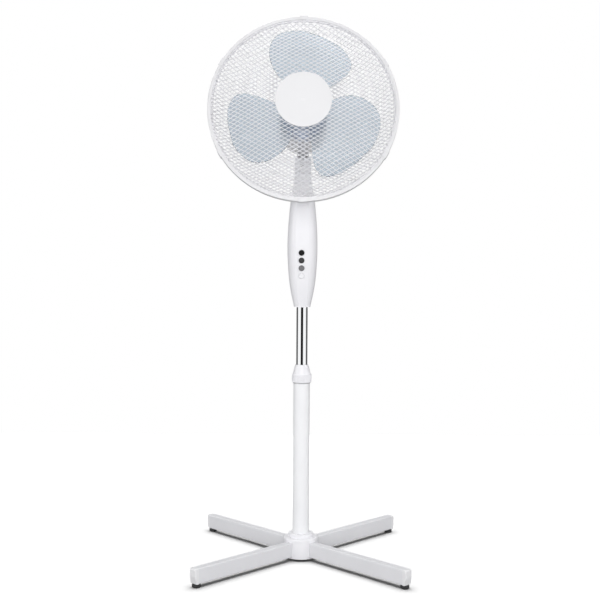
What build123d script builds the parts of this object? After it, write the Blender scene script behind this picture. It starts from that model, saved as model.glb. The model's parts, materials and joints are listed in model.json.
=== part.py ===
from build123d import *
import os
from math import cos, radians, sin, sqrt, tan

# Pedestal fan on a cross base. Millimetres, +Z up, origin on the floor under the mast.
# The fan blows towards -Y.

# Fits
RUN = 0.05  # radial clearance of a running or push fit
GAP = 0.3  # air between pieces that pass each other

# Cross base
FOOT_DIA = 19.4
FOOT_HEIGHT = 8.6
FOOT_STEM_DIA = 6.0
FOOT_STEM_LENGTH = 7.0
FOOT_INSET = 11.0  # foot centre in from the end of the leg
FOOT_ROUND = 2.6
LEG_REACH = 328.0  # mast axis to the outer face of a leg cap
LEG_WIDTH = 20.0
LEG_HEIGHT = 34.0
LEG_WALL = 1.5
LEG_CORNER = 2.5
LEG_BEARING = 45.0  # first leg, degrees from +X
LEG_COUNT = 4
CAP_LENGTH = 10.0
CAP_PLUG = 24.0
CAP_FIT = 0.15
CAP_ROUND = 4.0
CAP_UNDERCUT = 4.0
NOTCH_LENGTH = 13.0
NOTCH_WIDTH = 12.0
HUB_RADIUS = 39.5
HUB_FLOOR = 3.2
SOCKET_FLOOR = 2.0
SOCKET_WALL = 3.0
TROUGH_LENGTH = 37.0
TROUGH_FIT = 0.1
LEG_SCREW_DIA = 5.0
LEG_SCREW_HEAD_DIA = 9.0
LEG_SCREW_HEAD = 2.5
LEG_SCREW_GRIP = 8.0
COVER_RADIUS = 39.8
COVER_LOWER = 8.8
COVER_UPPER = 9.2
COVER_UPPER_RADIUS = 29.0
COVER_WALL = 2.5
COVER_ROUND = 3.2

# Outer tube and its foot
MAST_DIA = 38.0
MAST_WALL = 1.2
MAST_TOP = 413.5
PLUG_HEIGHT = 30.0
BOLT_DIA = 10.0
BOLT_HEAD_FLATS = 16.0
BOLT_HEAD = 3.6
BOLT_FLANGE_DIA = 26.0
BOLT_FLANGE = 1.2

# Height clamp
BUSH_DEPTH = 34.0
BUSH_FLANGE = 2.0
BUSH_FLANGE_RADIUS = 20.4
THREAD_RADIUS = 17.0
THREAD_HEIGHT = 16.5
COLLET_HEIGHT = 11.0
COLLET_TIP_RADIUS = 14.4
COLLET_SLIT = 1.4
NUT_SEAT_GAP = 0.4
NUT_GRIP_HEIGHT = 18.5
NUT_GRIP_RADIUS = 22.8
NUT_CONE_HEIGHT = 22.0
NUT_CONE_RADIUS = 21.2
NUT_TOP_RADIUS = 15.3
NUT_BORE_GAP = 0.6
NUT_RIBS = 36
NUT_GROOVE_RADIUS = 1.0

# Sliding chrome tube
TUBE_DIA = 26.0
TUBE_WALL = 1.2
TUBE_SHOW = 135.0  # bare length between the clamp nut and the control housing
TUBE_INSIDE_MAST = 183.0
TUBE_IN_HOUSING = 50.0
GUIDE_HEIGHT = 25.0

# Control housing
HOUSING_HEIGHT = 314.0
BELLY_RISE = 121.0
HOUSING_FOOT_HALF = 19.0
HOUSING_BELLY_HALF = 34.5
HOUSING_TOP_HALF = 19.0
HOUSING_WALL = 2.5
HOUSING_FLOOR = 3.0
FRONT_DEPTH_RATIO = 0.86  # depth ahead of the seam for each unit of half width
REAR_DEPTH_RATIO = 0.92
FACE_RATIO = 0.45  # half width of the flat front for each unit of half width
SIDE_BULGE = 0.10
SOCKET_RADIUS = 16.4
SOCKET_CAP = 5.0
SOCKET_RISE = 20.0  # socket above the foot of the housing, where the shell is wide enough
MAST_SCREW_DIA = 4.0
MAST_SCREW_RISE = 36.0
MAST_SCREW_HEAD_DIA = 7.0
BUTTON_DIA = 13.0
BUTTON_PITCH = 17.7
BUTTON_RISE = 99.5  # middle of the four buttons above the foot of the housing
BUTTON_SHIFT = -2.0
BUTTON_PROUD = 2.6
BUTTON_LENGTH = 13.0
BUTTON_ROUND = 1.4
BUTTON_STEM_DIA = 6.0
BUTTON_STROKE = 3.5
BUTTON_NAMES = ("high", "medium", "low", "stop")
BLOCK_WIDTH = 25.0
BLOCK_DEPTH = 14.0
BLOCK_MARGIN = 12.0
BLOCK_POST_DIA = 8.0
DIMPLE_DIA = 3.0
DIMPLE_DEPTH = 1.2
DIMPLE_DROP = 14.0  # below the top of the housing
DIMPLE_SHIFT = -7.0
SHELL_SCREW_DIA = 3.0
SHELL_SCREW_HEAD_DIA = 5.6
SHELL_SCREW_HEAD = 2.0
SHELL_BOSS_DIA = 7.0
SHELL_SCREW_RISE = 31.0
SHELL_SCREW_SIDE = 20.2
GLAND_RISE = 62.0
GLAND_DIA = 12.0
GLAND_FLANGE_DIA = 16.0
GLAND_FLANGE = 2.5
GLAND_BORE_DIA = 7.2
GLAND_TAIL = 6.0

# Tilt joint
HEAD_TILT = 12.3  # degrees nose-up, as it stands
TILT_RISE = 20.0  # hinge above the top of the housing shells
YOKE_CAP = 6.0
YOKE_PLUG_RADIUS = 12.4
YOKE_PLUG_DEPTH = 38.0
YOKE_SCREW_DEPTH = 20.0
EAR_RADIUS = 12.0
EAR_OUTER_HALF = 18.0
TONGUE_WIDTH = 9.4
TONGUE_SHIFT = -1.6  # middle of the tongue, to the right of the axis
TONGUE_RADIUS = 10.6
EAR_GAPS = {-1: 0.3, 1: 0.9}  # air on the left and right of the tongue
TILT_PIN_DIA = 8.0
TILT_HEAD_DIA = 14.0
TILT_HEAD = 3.0

# Neck and swivel
COLLAR_RADIUS = 14.0
COLLAR_BOTTOM = 14.0
COLLAR_ROUND = 1.5
COLLAR_TOP = 46.0
POST_DIA = 8.0
POST_TOP = 60.0
GROOVE_DEPTH = 1.4
GROOVE_LOW = 49.0
GROOVE_HIGH = 52.6
THRUST_WASHER = 1.5
THRUST_WASHER_RADIUS = 8.0
LEVER_BOTTOM = 48.5
LEVER_TOP = 51.5
LEVER_PIN_DIA = 3.4
LEVER_PIN_TOP = 57.2
LEVER_LENGTH = 13.8  # swivel axis to the lever pin
LEVER_ROUND = 3.6

# Motor, measured forwards from the swivel axis and outwards from the motor axis
AXIS_RISE = 97.0  # motor axis above the tilt hinge
SHAFT_DIA = 8.0
STATOR_RADIUS = 34.0
STATOR_BORE = 20.5
STATOR_BACK = -22.0
STATOR_FRONT = 8.0
STATOR_SLOTS = 8
SLOT_CIRCLE = 27.0
SLOT_RADIUS = 3.4
COIL_RADIUS = 3.1
COIL_OUT = 8.0
COIL_INNER = 22.8
COIL_OUTER = 31.2
AIR_GAP = 0.6
BELL_RADIUS = 34.6
BELL_INNER = 32.0
BELL_DEPTH = 10.0
BELL_PLATE = 4.0
BELL_BOSS_RADIUS = 11.0
BELL_BOSS = 8.0
BEARING_RADIUS = 8.0
BEARING_LENGTH = 11.0
EAR_CIRCLE = 37.4
BELL_EAR_RADIUS = 4.4
MOTOR_BOLT_DIA = 4.0
MOTOR_BOLT_HEAD_DIA = 7.0
MOTOR_BOLT_HEAD = 2.5
FRAME_HALF = 12.0
FRAME_PLATE_LOW = 58.4
FRAME_PLATE_HIGH = 61.8
FRAME_PLATE_FRONT = 9.0
SWIVEL_BOSS_RADIUS = 6.3
SET_SCREW_DIA = 3.0
SET_SCREW_END = 7.8

# Swing gear
WORM_RADIUS = 5.0
WORM_LENGTH = 14.0
WHEEL_RADIUS = 6.6
WHEEL_TEETH = 24
WHEEL_TOOTH = 0.9
WHEEL_HEIGHT = 10.0
GEAR_GAP = 0.4
WHEEL_BACK = 57.0  # worm wheel axis behind the swivel axis
CASE_FRONT = 44.0
CASE_BACK = 76.0
CASE_LEFT = 11.0
CASE_RIGHT = 24.0
CASE_HALF_HEIGHT = 17.0
CASE_WALL = 2.5
CASE_BOSS_RADIUS = 6.0
CASE_BOSS_DROP = 19.0
CASE_CHIMNEY = 11.0
SPINDLE_DIA = 6.0
SPINDLE_TOP = 8.0  # above the motor axis
CRANK_LOW = 57.2
CRANK_HIGH = 60.0
CRANK_THROW = 9.2
CRANK_ROUND = 4.6
CRANK_PIN_DIA = 4.0
LINK_LOW = 53.8
LINK_HIGH = 56.2
LINK_EYE = 5.4
LINK_SLACK_RADIUS = 3.9
LINK_HALF_WIDTH = 2.2

# Swing knob
KNOB_ROD_DIA = 6.0
KNOB_SLEEVE_DIA = 10.0
KNOB_DIA = 16.0
KNOB_HEIGHT = 14.0
KNOB_LIFT = 10.0  # underside of the grip above the cowl
KNOB_TRAVEL = 7.0

# Motor cowl
COWL_RADIUS = 55.0
COWL_TAIL_RADIUS = 54.0
COWL_STRAIGHT = 78.0
COWL_BACK = 117.5
COWL_WALL = 2.5
COWL_VENTS = 7
COWL_VENT_PITCH = 7.5
COWL_VENT_WIDTH = 3.6
COWL_VENT_HALF = 16.0
COWL_SCREW_DIA = 4.0
COWL_SCREW_HEAD_DIA = 8.0
COWL_POST = 10.0
COVER_PLATE = 4.0
COLLAR_THREAD_RADIUS = 28.5
COLLAR_BORE = 13.0
COLLAR_LENGTH = 16.0

# Guards
RING_FORWARD = 96.0  # middle of the trim ring ahead of the swivel axis
GUARD_RADIUS = 215.0
TRIM_WIDTH = 4.8
TRIM_LENGTH = 13.0
TRIM_RIB = 3.6
TRIM_LIP = 2.8
RIM_INSET = 3.0
NET_THICK = 2.0
REAR_DEPTH = 62.0
FRONT_DEPTH = 55.0
DOME_MID_SHARE = 0.62
DOME_MID_RISE = 0.76
FRONT_CENTRE_RADIUS = 59.0
REAR_CENTRE_RADIUS = 47.0
CENTRE_HOLE = 40.0
NET_PITCH = 48.0
NET_ANGLE = 30.0
NET_STRAND = 3.2
NUT_RING_RADIUS = 44.0
NUT_RING_LENGTH = 9.0
NUT_RING_LUGS = 6
NUT_LUG_RADIUS = 5.0
CLIP_COUNT = 6
CLIP_WIDTH = 18.0
CLIP_WALL = 1.2
CLIP_LIP = 9.0
BADGE_RADIUS = 62.4
BADGE_EDGE = 3.0
BADGE_CROWN = 3.5

# Blades
BLADE_COUNT = 3
BLADE_TIP = 177.0
BLADE_PLANE = 99.0  # ahead of the swivel axis
BLADE_THICK = 2.2
BLADE_CAMBER = 5.0
BLADE_ROOT_PITCH = 25.0
BLADE_TIP_PITCH = 11.0
BLADE_TURN = -9.7  # first blade, degrees from upright
BLADE_OUTLINE = (  # along the blade, trailing edge, leading edge, for each unit of tip radius
    (0.11, -0.065, 0.06),
    (0.34, -0.42, 0.25),
    (0.48, -0.51, 0.39),
    (0.62, -0.545, 0.485),
    (0.74, -0.535, 0.495),
    (0.84, -0.49, 0.415),
    (0.925, -0.385, 0.27),
    (0.975, -0.26, 0.07),
    (0.995, -0.19, -0.11),
)
IMPELLER_HUB_RADIUS = 30.0
IMPELLER_HUB_BACK = 81.0
IMPELLER_HUB_FRONT = 115.0
IMPELLER_HUB_WALL = 3.0
IMPELLER_BOSS_RADIUS = 9.0
DRIVE_PIN_DIA = 3.0
DRIVE_PIN_LENGTH = 22.0
SPINNER_RADIUS = 14.0
SPINNER_LENGTH = 17.0

# Worked-out places
leg_top = FOOT_HEIGHT + LEG_HEIGHT
leg_tube_end = LEG_REACH - CAP_LENGTH
leg_root = MAST_DIA / 2 + RUN + SOCKET_WALL
leg_screw_reach = (leg_root + HUB_RADIUS) / 2
hub_bottom = FOOT_HEIGHT - HUB_FLOOR
mast_seat = FOOT_HEIGHT + SOCKET_FLOOR
mast_bore = MAST_DIA / 2 - MAST_WALL
bush_top = MAST_TOP + BUSH_FLANGE
nut_bottom = bush_top + NUT_SEAT_GAP
nut_cone = nut_bottom + NUT_GRIP_HEIGHT
nut_top = nut_cone + NUT_CONE_HEIGHT
housing_z = nut_top + TUBE_SHOW
housing_top = housing_z + HOUSING_HEIGHT
tube_bottom = MAST_TOP - TUBE_INSIDE_MAST
tube_top = housing_z + TUBE_IN_HOUSING
tilt_z = housing_top + TILT_RISE
button_rises = [BUTTON_RISE + BUTTON_PITCH * (1.5 - i) for i in range(len(BUTTON_NAMES))]

# The head is drawn level about the tilt hinge and then set at its tilt. Spun pieces are drawn
# with Z forwards along the motor axis, from the swivel axis, and Y up.
neck_place = Location((0, 0, tilt_z), (-HEAD_TILT, 0, 0))
motor_place = neck_place * Location((0, 0, AXIS_RISE), (90, 0, 0))
legs = {"rear_right": 0, "rear_left": 1, "front_left": 2, "front_right": 3}

os.makedirs("parts", exist_ok=True)


def write(builder, node, place=Location()):
    """Set one finished piece in the fan's frame, label it and write it."""
    piece = builder.part.moved(place)
    piece.label = node
    export_step(piece, f"parts/{node}.step")


def leg_place(index):
    return Location((0, 0, 0), (0, 0, LEG_BEARING + 90 * index))


# Rubber feet under the ends of the legs, each with a stem in its leg cap
with BuildPart() as rubber_feet:
    with BuildSketch(Plane.XY.offset(FOOT_HEIGHT)) as foot_plan:
        with PolarLocations(LEG_REACH - FOOT_INSET, LEG_COUNT, LEG_BEARING):
            Circle(FOOT_DIA / 2)
    extrude(amount=-FOOT_HEIGHT)
    fillet(rubber_feet.edges().group_by(Axis.Z)[0], FOOT_ROUND)
    fillet(rubber_feet.edges().group_by(Axis.Z)[-1], FOOT_ROUND)
    with BuildSketch(Plane.XY.offset(FOOT_HEIGHT)) as stem_plan:
        with PolarLocations(LEG_REACH - FOOT_INSET, LEG_COUNT, LEG_BEARING):
            Circle(FOOT_STEM_DIA / 2)
    extrude(amount=FOOT_STEM_LENGTH)
write(rubber_feet, "rubber_feet")

# Leg along +X: box tube with a notch for the cap's key and a hole for its screw
with BuildPart() as leg:
    with BuildSketch(Plane.YZ.offset(leg_root)) as leg_section:
        with Locations((0, FOOT_HEIGHT + LEG_HEIGHT / 2)):
            RectangleRounded(LEG_WIDTH, LEG_HEIGHT, LEG_CORNER)
            RectangleRounded(
                LEG_WIDTH - 2 * LEG_WALL,
                LEG_HEIGHT - 2 * LEG_WALL,
                LEG_CORNER - LEG_WALL,
                mode=Mode.SUBTRACT,
            )
    extrude(amount=leg_tube_end - leg_root)
    with BuildSketch(Plane.XY.offset(FOOT_HEIGHT)) as leg_cuts:
        with Locations((leg_tube_end - NOTCH_LENGTH / 2, 0)):
            Rectangle(NOTCH_LENGTH, NOTCH_WIDTH)
        with Locations((leg_screw_reach, 0)):
            Circle(LEG_SCREW_DIA / 2 + RUN)
    extrude(amount=LEG_WALL, mode=Mode.SUBTRACT)

# Leg cap: end block with a tapered face, a plug in the tube and a key in the notch
with BuildPart() as leg_cap:
    with BuildSketch(Plane.XZ) as cap_side:
        with BuildLine():
            Polyline(
                (leg_tube_end, FOOT_HEIGHT),
                (LEG_REACH - CAP_UNDERCUT, FOOT_HEIGHT),
                (LEG_REACH, FOOT_HEIGHT + LEG_HEIGHT / 2),
                (LEG_REACH, leg_top),
                (leg_tube_end, leg_top),
                close=True,
            )
        make_face()
        fillet(cap_side.vertices().group_by(Axis.X)[-1].sort_by(Axis.Y)[-1], CAP_ROUND)
    extrude(amount=LEG_WIDTH / 2, both=True)
    fillet(leg_cap.edges().filter_by(Axis.Z).group_by(Axis.X)[-1], LEG_CORNER)
    with BuildSketch(Plane.YZ.offset(leg_tube_end - CAP_PLUG)) as cap_plug:
        with Locations((0, FOOT_HEIGHT + LEG_HEIGHT / 2)):
            RectangleRounded(
                LEG_WIDTH - 2 * (LEG_WALL + CAP_FIT),
                LEG_HEIGHT - 2 * (LEG_WALL + CAP_FIT),
                LEG_CORNER - LEG_WALL,
            )
    extrude(amount=CAP_PLUG)
    with BuildSketch(Plane.XY.offset(FOOT_HEIGHT)) as cap_key:
        with Locations((leg_tube_end - (NOTCH_LENGTH - CAP_FIT) / 2, 0)):
            Rectangle(NOTCH_LENGTH - CAP_FIT, NOTCH_WIDTH - 2 * CAP_FIT)
    extrude(amount=LEG_WALL + CAP_FIT)
    with Locations((LEG_REACH - FOOT_INSET, 0, FOOT_HEIGHT)):
        Cylinder(
            FOOT_STEM_DIA / 2 + RUN,
            FOOT_STEM_LENGTH + GAP,
            align=(Align.CENTER, Align.CENTER, Align.MIN),
            mode=Mode.SUBTRACT,
        )

for position, index in legs.items():
    write(leg, f"leg_{position}", leg_place(index))

with BuildPart() as leg_caps:
    for index in legs.values():
        add(leg_cap.part.moved(leg_place(index)))
write(leg_caps, "leg_caps")

# Hub: round socket for the mast with four troughs that hold the legs
with BuildPart() as base_hub:
    with BuildSketch(Plane.XY.offset(hub_bottom)) as hub_plan:
        Circle(HUB_RADIUS)
    extrude(amount=leg_top - hub_bottom)
    with BuildSketch(Plane.XY.offset(FOOT_HEIGHT)) as leg_troughs:
        with PolarLocations(leg_root + TROUGH_LENGTH / 2, LEG_COUNT, LEG_BEARING):
            Rectangle(TROUGH_LENGTH, LEG_WIDTH + 2 * TROUGH_FIT)
    extrude(amount=LEG_HEIGHT, mode=Mode.SUBTRACT)
    with BuildSketch(Plane.XY.offset(mast_seat)) as mast_socket_plan:
        Circle(MAST_DIA / 2 + RUN)
    extrude(amount=leg_top - mast_seat, mode=Mode.SUBTRACT)
    with BuildSketch(Plane.XY.offset(hub_bottom)) as hub_holes:
        Circle(BOLT_DIA / 2 + RUN)
        with PolarLocations(leg_screw_reach, LEG_COUNT, LEG_BEARING):
            Circle(LEG_SCREW_DIA / 2 + RUN)
    extrude(amount=HUB_FLOOR + SOCKET_FLOOR, mode=Mode.SUBTRACT)
write(base_hub, "base_hub")

# Leg screws, driven up through the hub floor
with BuildPart() as leg_screws:
    with BuildSketch(Plane.XY.offset(hub_bottom - LEG_SCREW_HEAD)) as screw_heads:
        with PolarLocations(leg_screw_reach, LEG_COUNT, LEG_BEARING):
            Circle(LEG_SCREW_HEAD_DIA / 2)
    extrude(amount=LEG_SCREW_HEAD)
    with BuildSketch(Plane.XY.offset(hub_bottom)) as screw_shanks:
        with PolarLocations(leg_screw_reach, LEG_COUNT, LEG_BEARING):
            Circle(LEG_SCREW_DIA / 2)
    extrude(amount=HUB_FLOOR + LEG_SCREW_GRIP)
write(leg_screws, "leg_screws")

# Two-tier cover over the hub
with BuildPart() as base_cover:
    with BuildSketch(Plane.XZ) as cover_profile:
        with BuildLine():
            Polyline(
                (MAST_DIA / 2 + RUN, leg_top + COVER_LOWER - COVER_WALL),
                (COVER_RADIUS - COVER_WALL, leg_top + COVER_LOWER - COVER_WALL),
                (COVER_RADIUS - COVER_WALL, leg_top),
                (COVER_RADIUS, leg_top),
                (COVER_RADIUS, leg_top + COVER_LOWER),
                (COVER_UPPER_RADIUS, leg_top + COVER_LOWER),
                (COVER_UPPER_RADIUS, leg_top + COVER_LOWER + COVER_UPPER),
                (MAST_DIA / 2 + RUN, leg_top + COVER_LOWER + COVER_UPPER),
                close=True,
            )
        make_face()
        cover_corners = cover_profile.vertices().sort_by(Axis.Y)
        lower_corner = cover_corners.sort_by_distance((COVER_RADIUS, leg_top + COVER_LOWER))[0]
        upper_corner = cover_corners.sort_by_distance(
            (COVER_UPPER_RADIUS, leg_top + COVER_LOWER + COVER_UPPER)
        )[0]
        fillet([lower_corner, upper_corner], COVER_ROUND)
    revolve(axis=Axis.Z)
write(base_cover, "base_cover")

# Outer tube of the mast
with BuildPart() as outer_tube:
    with BuildSketch(Plane.XY.offset(mast_seat)) as mast_section:
        Circle(MAST_DIA / 2)
        Circle(mast_bore, mode=Mode.SUBTRACT)
    extrude(amount=MAST_TOP - mast_seat)
write(outer_tube, "outer_tube")

# Threaded plug in the foot of the outer tube, with the flanged bolt that pulls it down
with BuildPart() as mast_plug:
    with BuildSketch(Plane.XY.offset(mast_seat)) as plug_section:
        Circle(mast_bore - RUN)
        Circle(BOLT_DIA / 2 + RUN, mode=Mode.SUBTRACT)
    extrude(amount=PLUG_HEIGHT)
write(mast_plug, "mast_plug")

with BuildPart() as base_bolt:
    with BuildSketch(Plane.XY.offset(hub_bottom - BOLT_FLANGE - BOLT_HEAD)) as bolt_head_plan:
        RegularPolygon(BOLT_HEAD_FLATS / 2, 6, major_radius=False)
    extrude(amount=BOLT_HEAD)
    with BuildSketch(Plane.XY.offset(hub_bottom - BOLT_FLANGE)) as bolt_flange:
        Circle(BOLT_FLANGE_DIA / 2)
    extrude(amount=BOLT_FLANGE)
    with BuildSketch(Plane.XY.offset(hub_bottom)) as bolt_shank:
        Circle(BOLT_DIA / 2)
    extrude(amount=mast_seat + PLUG_HEIGHT - hub_bottom)
write(base_bolt, "base_bolt")

# Split collet bush in the top of the outer tube
with BuildPart() as clamp_bush:
    with BuildSketch(Plane.XZ) as bush_profile:
        with BuildLine():
            Polyline(
                (TUBE_DIA / 2 + RUN, MAST_TOP - BUSH_DEPTH),
                (mast_bore - RUN, MAST_TOP - BUSH_DEPTH),
                (mast_bore - RUN, MAST_TOP),
                (BUSH_FLANGE_RADIUS, MAST_TOP),
                (BUSH_FLANGE_RADIUS, bush_top),
                (THREAD_RADIUS, bush_top),
                (THREAD_RADIUS, bush_top + THREAD_HEIGHT),
                (COLLET_TIP_RADIUS, bush_top + THREAD_HEIGHT + COLLET_HEIGHT),
                (TUBE_DIA / 2 + RUN, bush_top + THREAD_HEIGHT + COLLET_HEIGHT),
                close=True,
            )
        make_face()
    revolve(axis=Axis.Z)
    with BuildSketch(Plane.XY.offset(bush_top + THREAD_HEIGHT / 2)) as collet_slits:
        Rectangle(2 * THREAD_RADIUS, COLLET_SLIT)
        Rectangle(COLLET_SLIT, 2 * THREAD_RADIUS)
    extrude(amount=THREAD_HEIGHT + COLLET_HEIGHT, mode=Mode.SUBTRACT)
write(clamp_bush, "clamp_bush")

# Clamp nut: ribbed grip under a cone
nut_thread = THREAD_RADIUS + GAP
nut_lip = TUBE_DIA / 2 + NUT_BORE_GAP
with BuildPart() as clamp_nut:
    with BuildSketch(Plane.XZ) as nut_profile:
        with BuildLine():
            Polyline(
                (nut_thread, nut_bottom),
                (NUT_GRIP_RADIUS, nut_bottom),
                (NUT_GRIP_RADIUS, nut_cone),
                (NUT_CONE_RADIUS, nut_cone),
                (NUT_TOP_RADIUS, nut_top),
                (nut_lip, nut_top),
                (nut_lip, bush_top + THREAD_HEIGHT + COLLET_HEIGHT + 3 * GAP),
                (COLLET_TIP_RADIUS + GAP, bush_top + THREAD_HEIGHT + COLLET_HEIGHT + 2 * GAP),
                (nut_thread, bush_top + THREAD_HEIGHT + 2 * GAP),
                close=True,
            )
        make_face()
    revolve(axis=Axis.Z)
    with BuildSketch(Plane.XY.offset(nut_bottom)) as grip_grooves:
        with PolarLocations(NUT_GRIP_RADIUS, NUT_RIBS):
            Circle(NUT_GROOVE_RADIUS)
    extrude(amount=NUT_GRIP_HEIGHT, mode=Mode.SUBTRACT)
write(clamp_nut, "clamp_nut")

# Sliding chrome tube and the guide ring on its lower end
with BuildPart() as inner_tube:
    with BuildSketch(Plane.XY.offset(tube_bottom)) as tube_section:
        Circle(TUBE_DIA / 2)
        Circle(TUBE_DIA / 2 - TUBE_WALL, mode=Mode.SUBTRACT)
    extrude(amount=tube_top - tube_bottom)
    with BuildSketch(Plane.XZ.offset(-TUBE_DIA / 2)) as tube_screw_hole:
        with Locations((0, housing_z + MAST_SCREW_RISE)):
            Circle(MAST_SCREW_DIA / 2 + RUN)
    extrude(amount=TUBE_DIA / 2, mode=Mode.SUBTRACT)
write(inner_tube, "inner_tube")

with BuildPart() as tube_guide:
    with BuildSketch(Plane.XY.offset(tube_bottom)) as guide_section:
        Circle(mast_bore - GAP)
        Circle(TUBE_DIA / 2 + RUN, mode=Mode.SUBTRACT)
    extrude(amount=GUIDE_HEIGHT)
write(tube_guide, "tube_guide")

# Control housing outline: share of the way from the foot or top width to the belly width
HOUSING_LOWER = ((0, 0), (0.24, 0.40), (0.57, 0.79))
HOUSING_UPPER = ((0, 1), (0.30, 0.94), (0.534, 0.72), (0.69, 0.49), (0.83, 0.17), (1, 0))
housing_stations = [
    (BELLY_RISE * rise, HOUSING_FOOT_HALF + (HOUSING_BELLY_HALF - HOUSING_FOOT_HALF) * share)
    for rise, share in HOUSING_LOWER
]
housing_stations += [
    (
        BELLY_RISE + (HOUSING_HEIGHT - BELLY_RISE) * rise,
        HOUSING_TOP_HALF + (HOUSING_BELLY_HALF - HOUSING_TOP_HALF) * share,
    )
    for rise, share in HOUSING_UPPER
]


def housing_half(rise):
    """Half width of the housing at a height above its foot, read between the stations."""
    for (low, low_half), (high, high_half) in zip(housing_stations, housing_stations[1:]):
        if rise <= high:
            return low_half + (high_half - low_half) * (rise - low) / (high - low)
    return HOUSING_TOP_HALF


def face_depth(rise):
    return housing_half(rise) * FRONT_DEPTH_RATIO


def rear_depth(rise, side=0):
    """Depth of the rear wall behind the seam, at a distance to one side."""
    half = housing_half(rise)
    return half * REAR_DEPTH_RATIO * sqrt(1 - (side / half) ** 2)


def front_section(rise, half, wall=0):
    """Front half of the section: a flat face between two bulged sides, closed on the seam."""
    width = half - wall
    depth = half * FRONT_DEPTH_RATIO - wall
    face = half * FACE_RATIO - wall / 2
    bulge = SIDE_BULGE * half
    side = ((width + face) / 2 + bulge, -depth / 2 - bulge)
    with BuildSketch(Plane.XY.offset(housing_z + rise)) as section:
        with BuildLine():
            Line((-face, -depth), (face, -depth))
            ThreePointArc((face, -depth), side, (width, 0))
            Line((width, 0), (-width, 0))
            ThreePointArc((-width, 0), (-side[0], side[1]), (-face, -depth))
        make_face()
    return section.sketch


def rear_section(rise, half, wall=0):
    """Rear half of the section: one round back, closed on the seam."""
    width = half - wall
    depth = half * REAR_DEPTH_RATIO - wall
    with BuildSketch(Plane.XY.offset(housing_z + rise)) as section:
        with BuildLine():
            ThreePointArc((width, 0), (0, depth), (-width, 0))
            Line((-width, 0), (width, 0))
        make_face()
    return section.sketch


def inner_stations():
    """Stations of the hollow: from the floor up through the open top."""
    first = (HOUSING_FLOOR, housing_half(HOUSING_FLOOR))
    last = (HOUSING_HEIGHT + GAP, HOUSING_TOP_HALF)
    return [first] + housing_stations[1:-1] + [last]


def shell_screw_places():
    lower = [(side * SHELL_SCREW_SIDE, SHELL_SCREW_RISE) for side in (-1, 1)]
    return lower + [(0, HOUSING_HEIGHT - YOKE_SCREW_DEPTH)]


# Front shell, with the button holes and screw bosses
with BuildPart() as housing_front:
    loft([front_section(rise, half) for rise, half in housing_stations])
    loft(
        [front_section(rise, half, HOUSING_WALL) for rise, half in inner_stations()],
        mode=Mode.SUBTRACT,
    )
    for side, rise in shell_screw_places():
        boss_depth = face_depth(rise) * (0.5 if side else 1) - HOUSING_WALL / 2
        boss_start = 0 if side else YOKE_PLUG_RADIUS + RUN
        with BuildSketch(Plane.XZ.offset(boss_start)):
            with Locations((side, housing_z + rise)):
                Circle(SHELL_BOSS_DIA / 2)
        extrude(amount=boss_depth - boss_start)
        with BuildSketch(Plane.XZ):
            with Locations((side, housing_z + rise)):
                Circle(SHELL_SCREW_DIA / 2 + RUN)
        extrude(amount=boss_depth, mode=Mode.SUBTRACT)
    for rise in button_rises:
        with BuildSketch(Plane.XZ.offset(face_depth(rise) - 2 * HOUSING_WALL)):
            with Locations((BUTTON_SHIFT, housing_z + rise)):
                Circle(BUTTON_DIA / 2 + GAP)
        extrude(amount=4 * HOUSING_WALL, mode=Mode.SUBTRACT)
    dimple_rise = HOUSING_HEIGHT - DIMPLE_DROP
    with BuildSketch(Plane.XZ.offset(face_depth(dimple_rise) - DIMPLE_DEPTH)):
        with Locations((DIMPLE_SHIFT, housing_z + dimple_rise)):
            Circle(DIMPLE_DIA / 2)
    extrude(amount=2 * HOUSING_WALL, mode=Mode.SUBTRACT)
    with BuildSketch(Plane.XY.offset(housing_z)):
        Circle(TUBE_DIA / 2 + RUN)
    extrude(amount=HOUSING_FLOOR, mode=Mode.SUBTRACT)
write(housing_front, "control_housing_front")

# Rear shell, with the screw bosses, the posts behind the switch block and the gland hole
block_back = BLOCK_DEPTH / 2
block_rises = (button_rises[-1], button_rises[0])
with BuildPart() as housing_rear:
    loft([rear_section(rise, half) for rise, half in housing_stations])
    loft(
        [rear_section(rise, half, HOUSING_WALL) for rise, half in inner_stations()],
        mode=Mode.SUBTRACT,
    )
    for rise in block_rises:
        with BuildSketch(Plane.XZ.offset(-block_back)):
            with Locations((BUTTON_SHIFT, housing_z + rise)):
                Circle(BLOCK_POST_DIA / 2)
        extrude(amount=block_back - rear_depth(rise) + HOUSING_WALL / 2)
    for side, rise in shell_screw_places():
        depth = rear_depth(rise, side)
        boss_start = 0 if side else YOKE_PLUG_RADIUS + RUN
        with BuildSketch(Plane.XZ.offset(-boss_start)):
            with Locations((side, housing_z + rise)):
                Circle(SHELL_BOSS_DIA / 2)
        extrude(amount=boss_start - depth + HOUSING_WALL / 2)
        with BuildSketch(Plane.XZ):
            with Locations((side, housing_z + rise)):
                Circle(SHELL_SCREW_DIA / 2 + RUN)
        extrude(amount=-depth - HOUSING_WALL, mode=Mode.SUBTRACT)
        with BuildSketch(Plane.XZ.offset(HOUSING_WALL + SHELL_SCREW_HEAD - depth)):
            with Locations((side, housing_z + rise)):
                Circle(SHELL_SCREW_HEAD_DIA / 2 + GAP)
        extrude(amount=-2 * HOUSING_WALL - SHELL_SCREW_HEAD, mode=Mode.SUBTRACT)
    with BuildSketch(Plane.XZ.offset(-TUBE_DIA / 2)):
        with Locations((0, housing_z + MAST_SCREW_RISE)):
            Circle(MAST_SCREW_HEAD_DIA / 2 + GAP)
        with Locations((0, housing_z + GLAND_RISE)):
            Circle(GLAND_DIA / 2 + RUN)
    extrude(amount=-HOUSING_BELLY_HALF, mode=Mode.SUBTRACT)
    with BuildSketch(Plane.XY.offset(housing_z)):
        Circle(TUBE_DIA / 2 + RUN)
    extrude(amount=HOUSING_FLOOR, mode=Mode.SUBTRACT)
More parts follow.
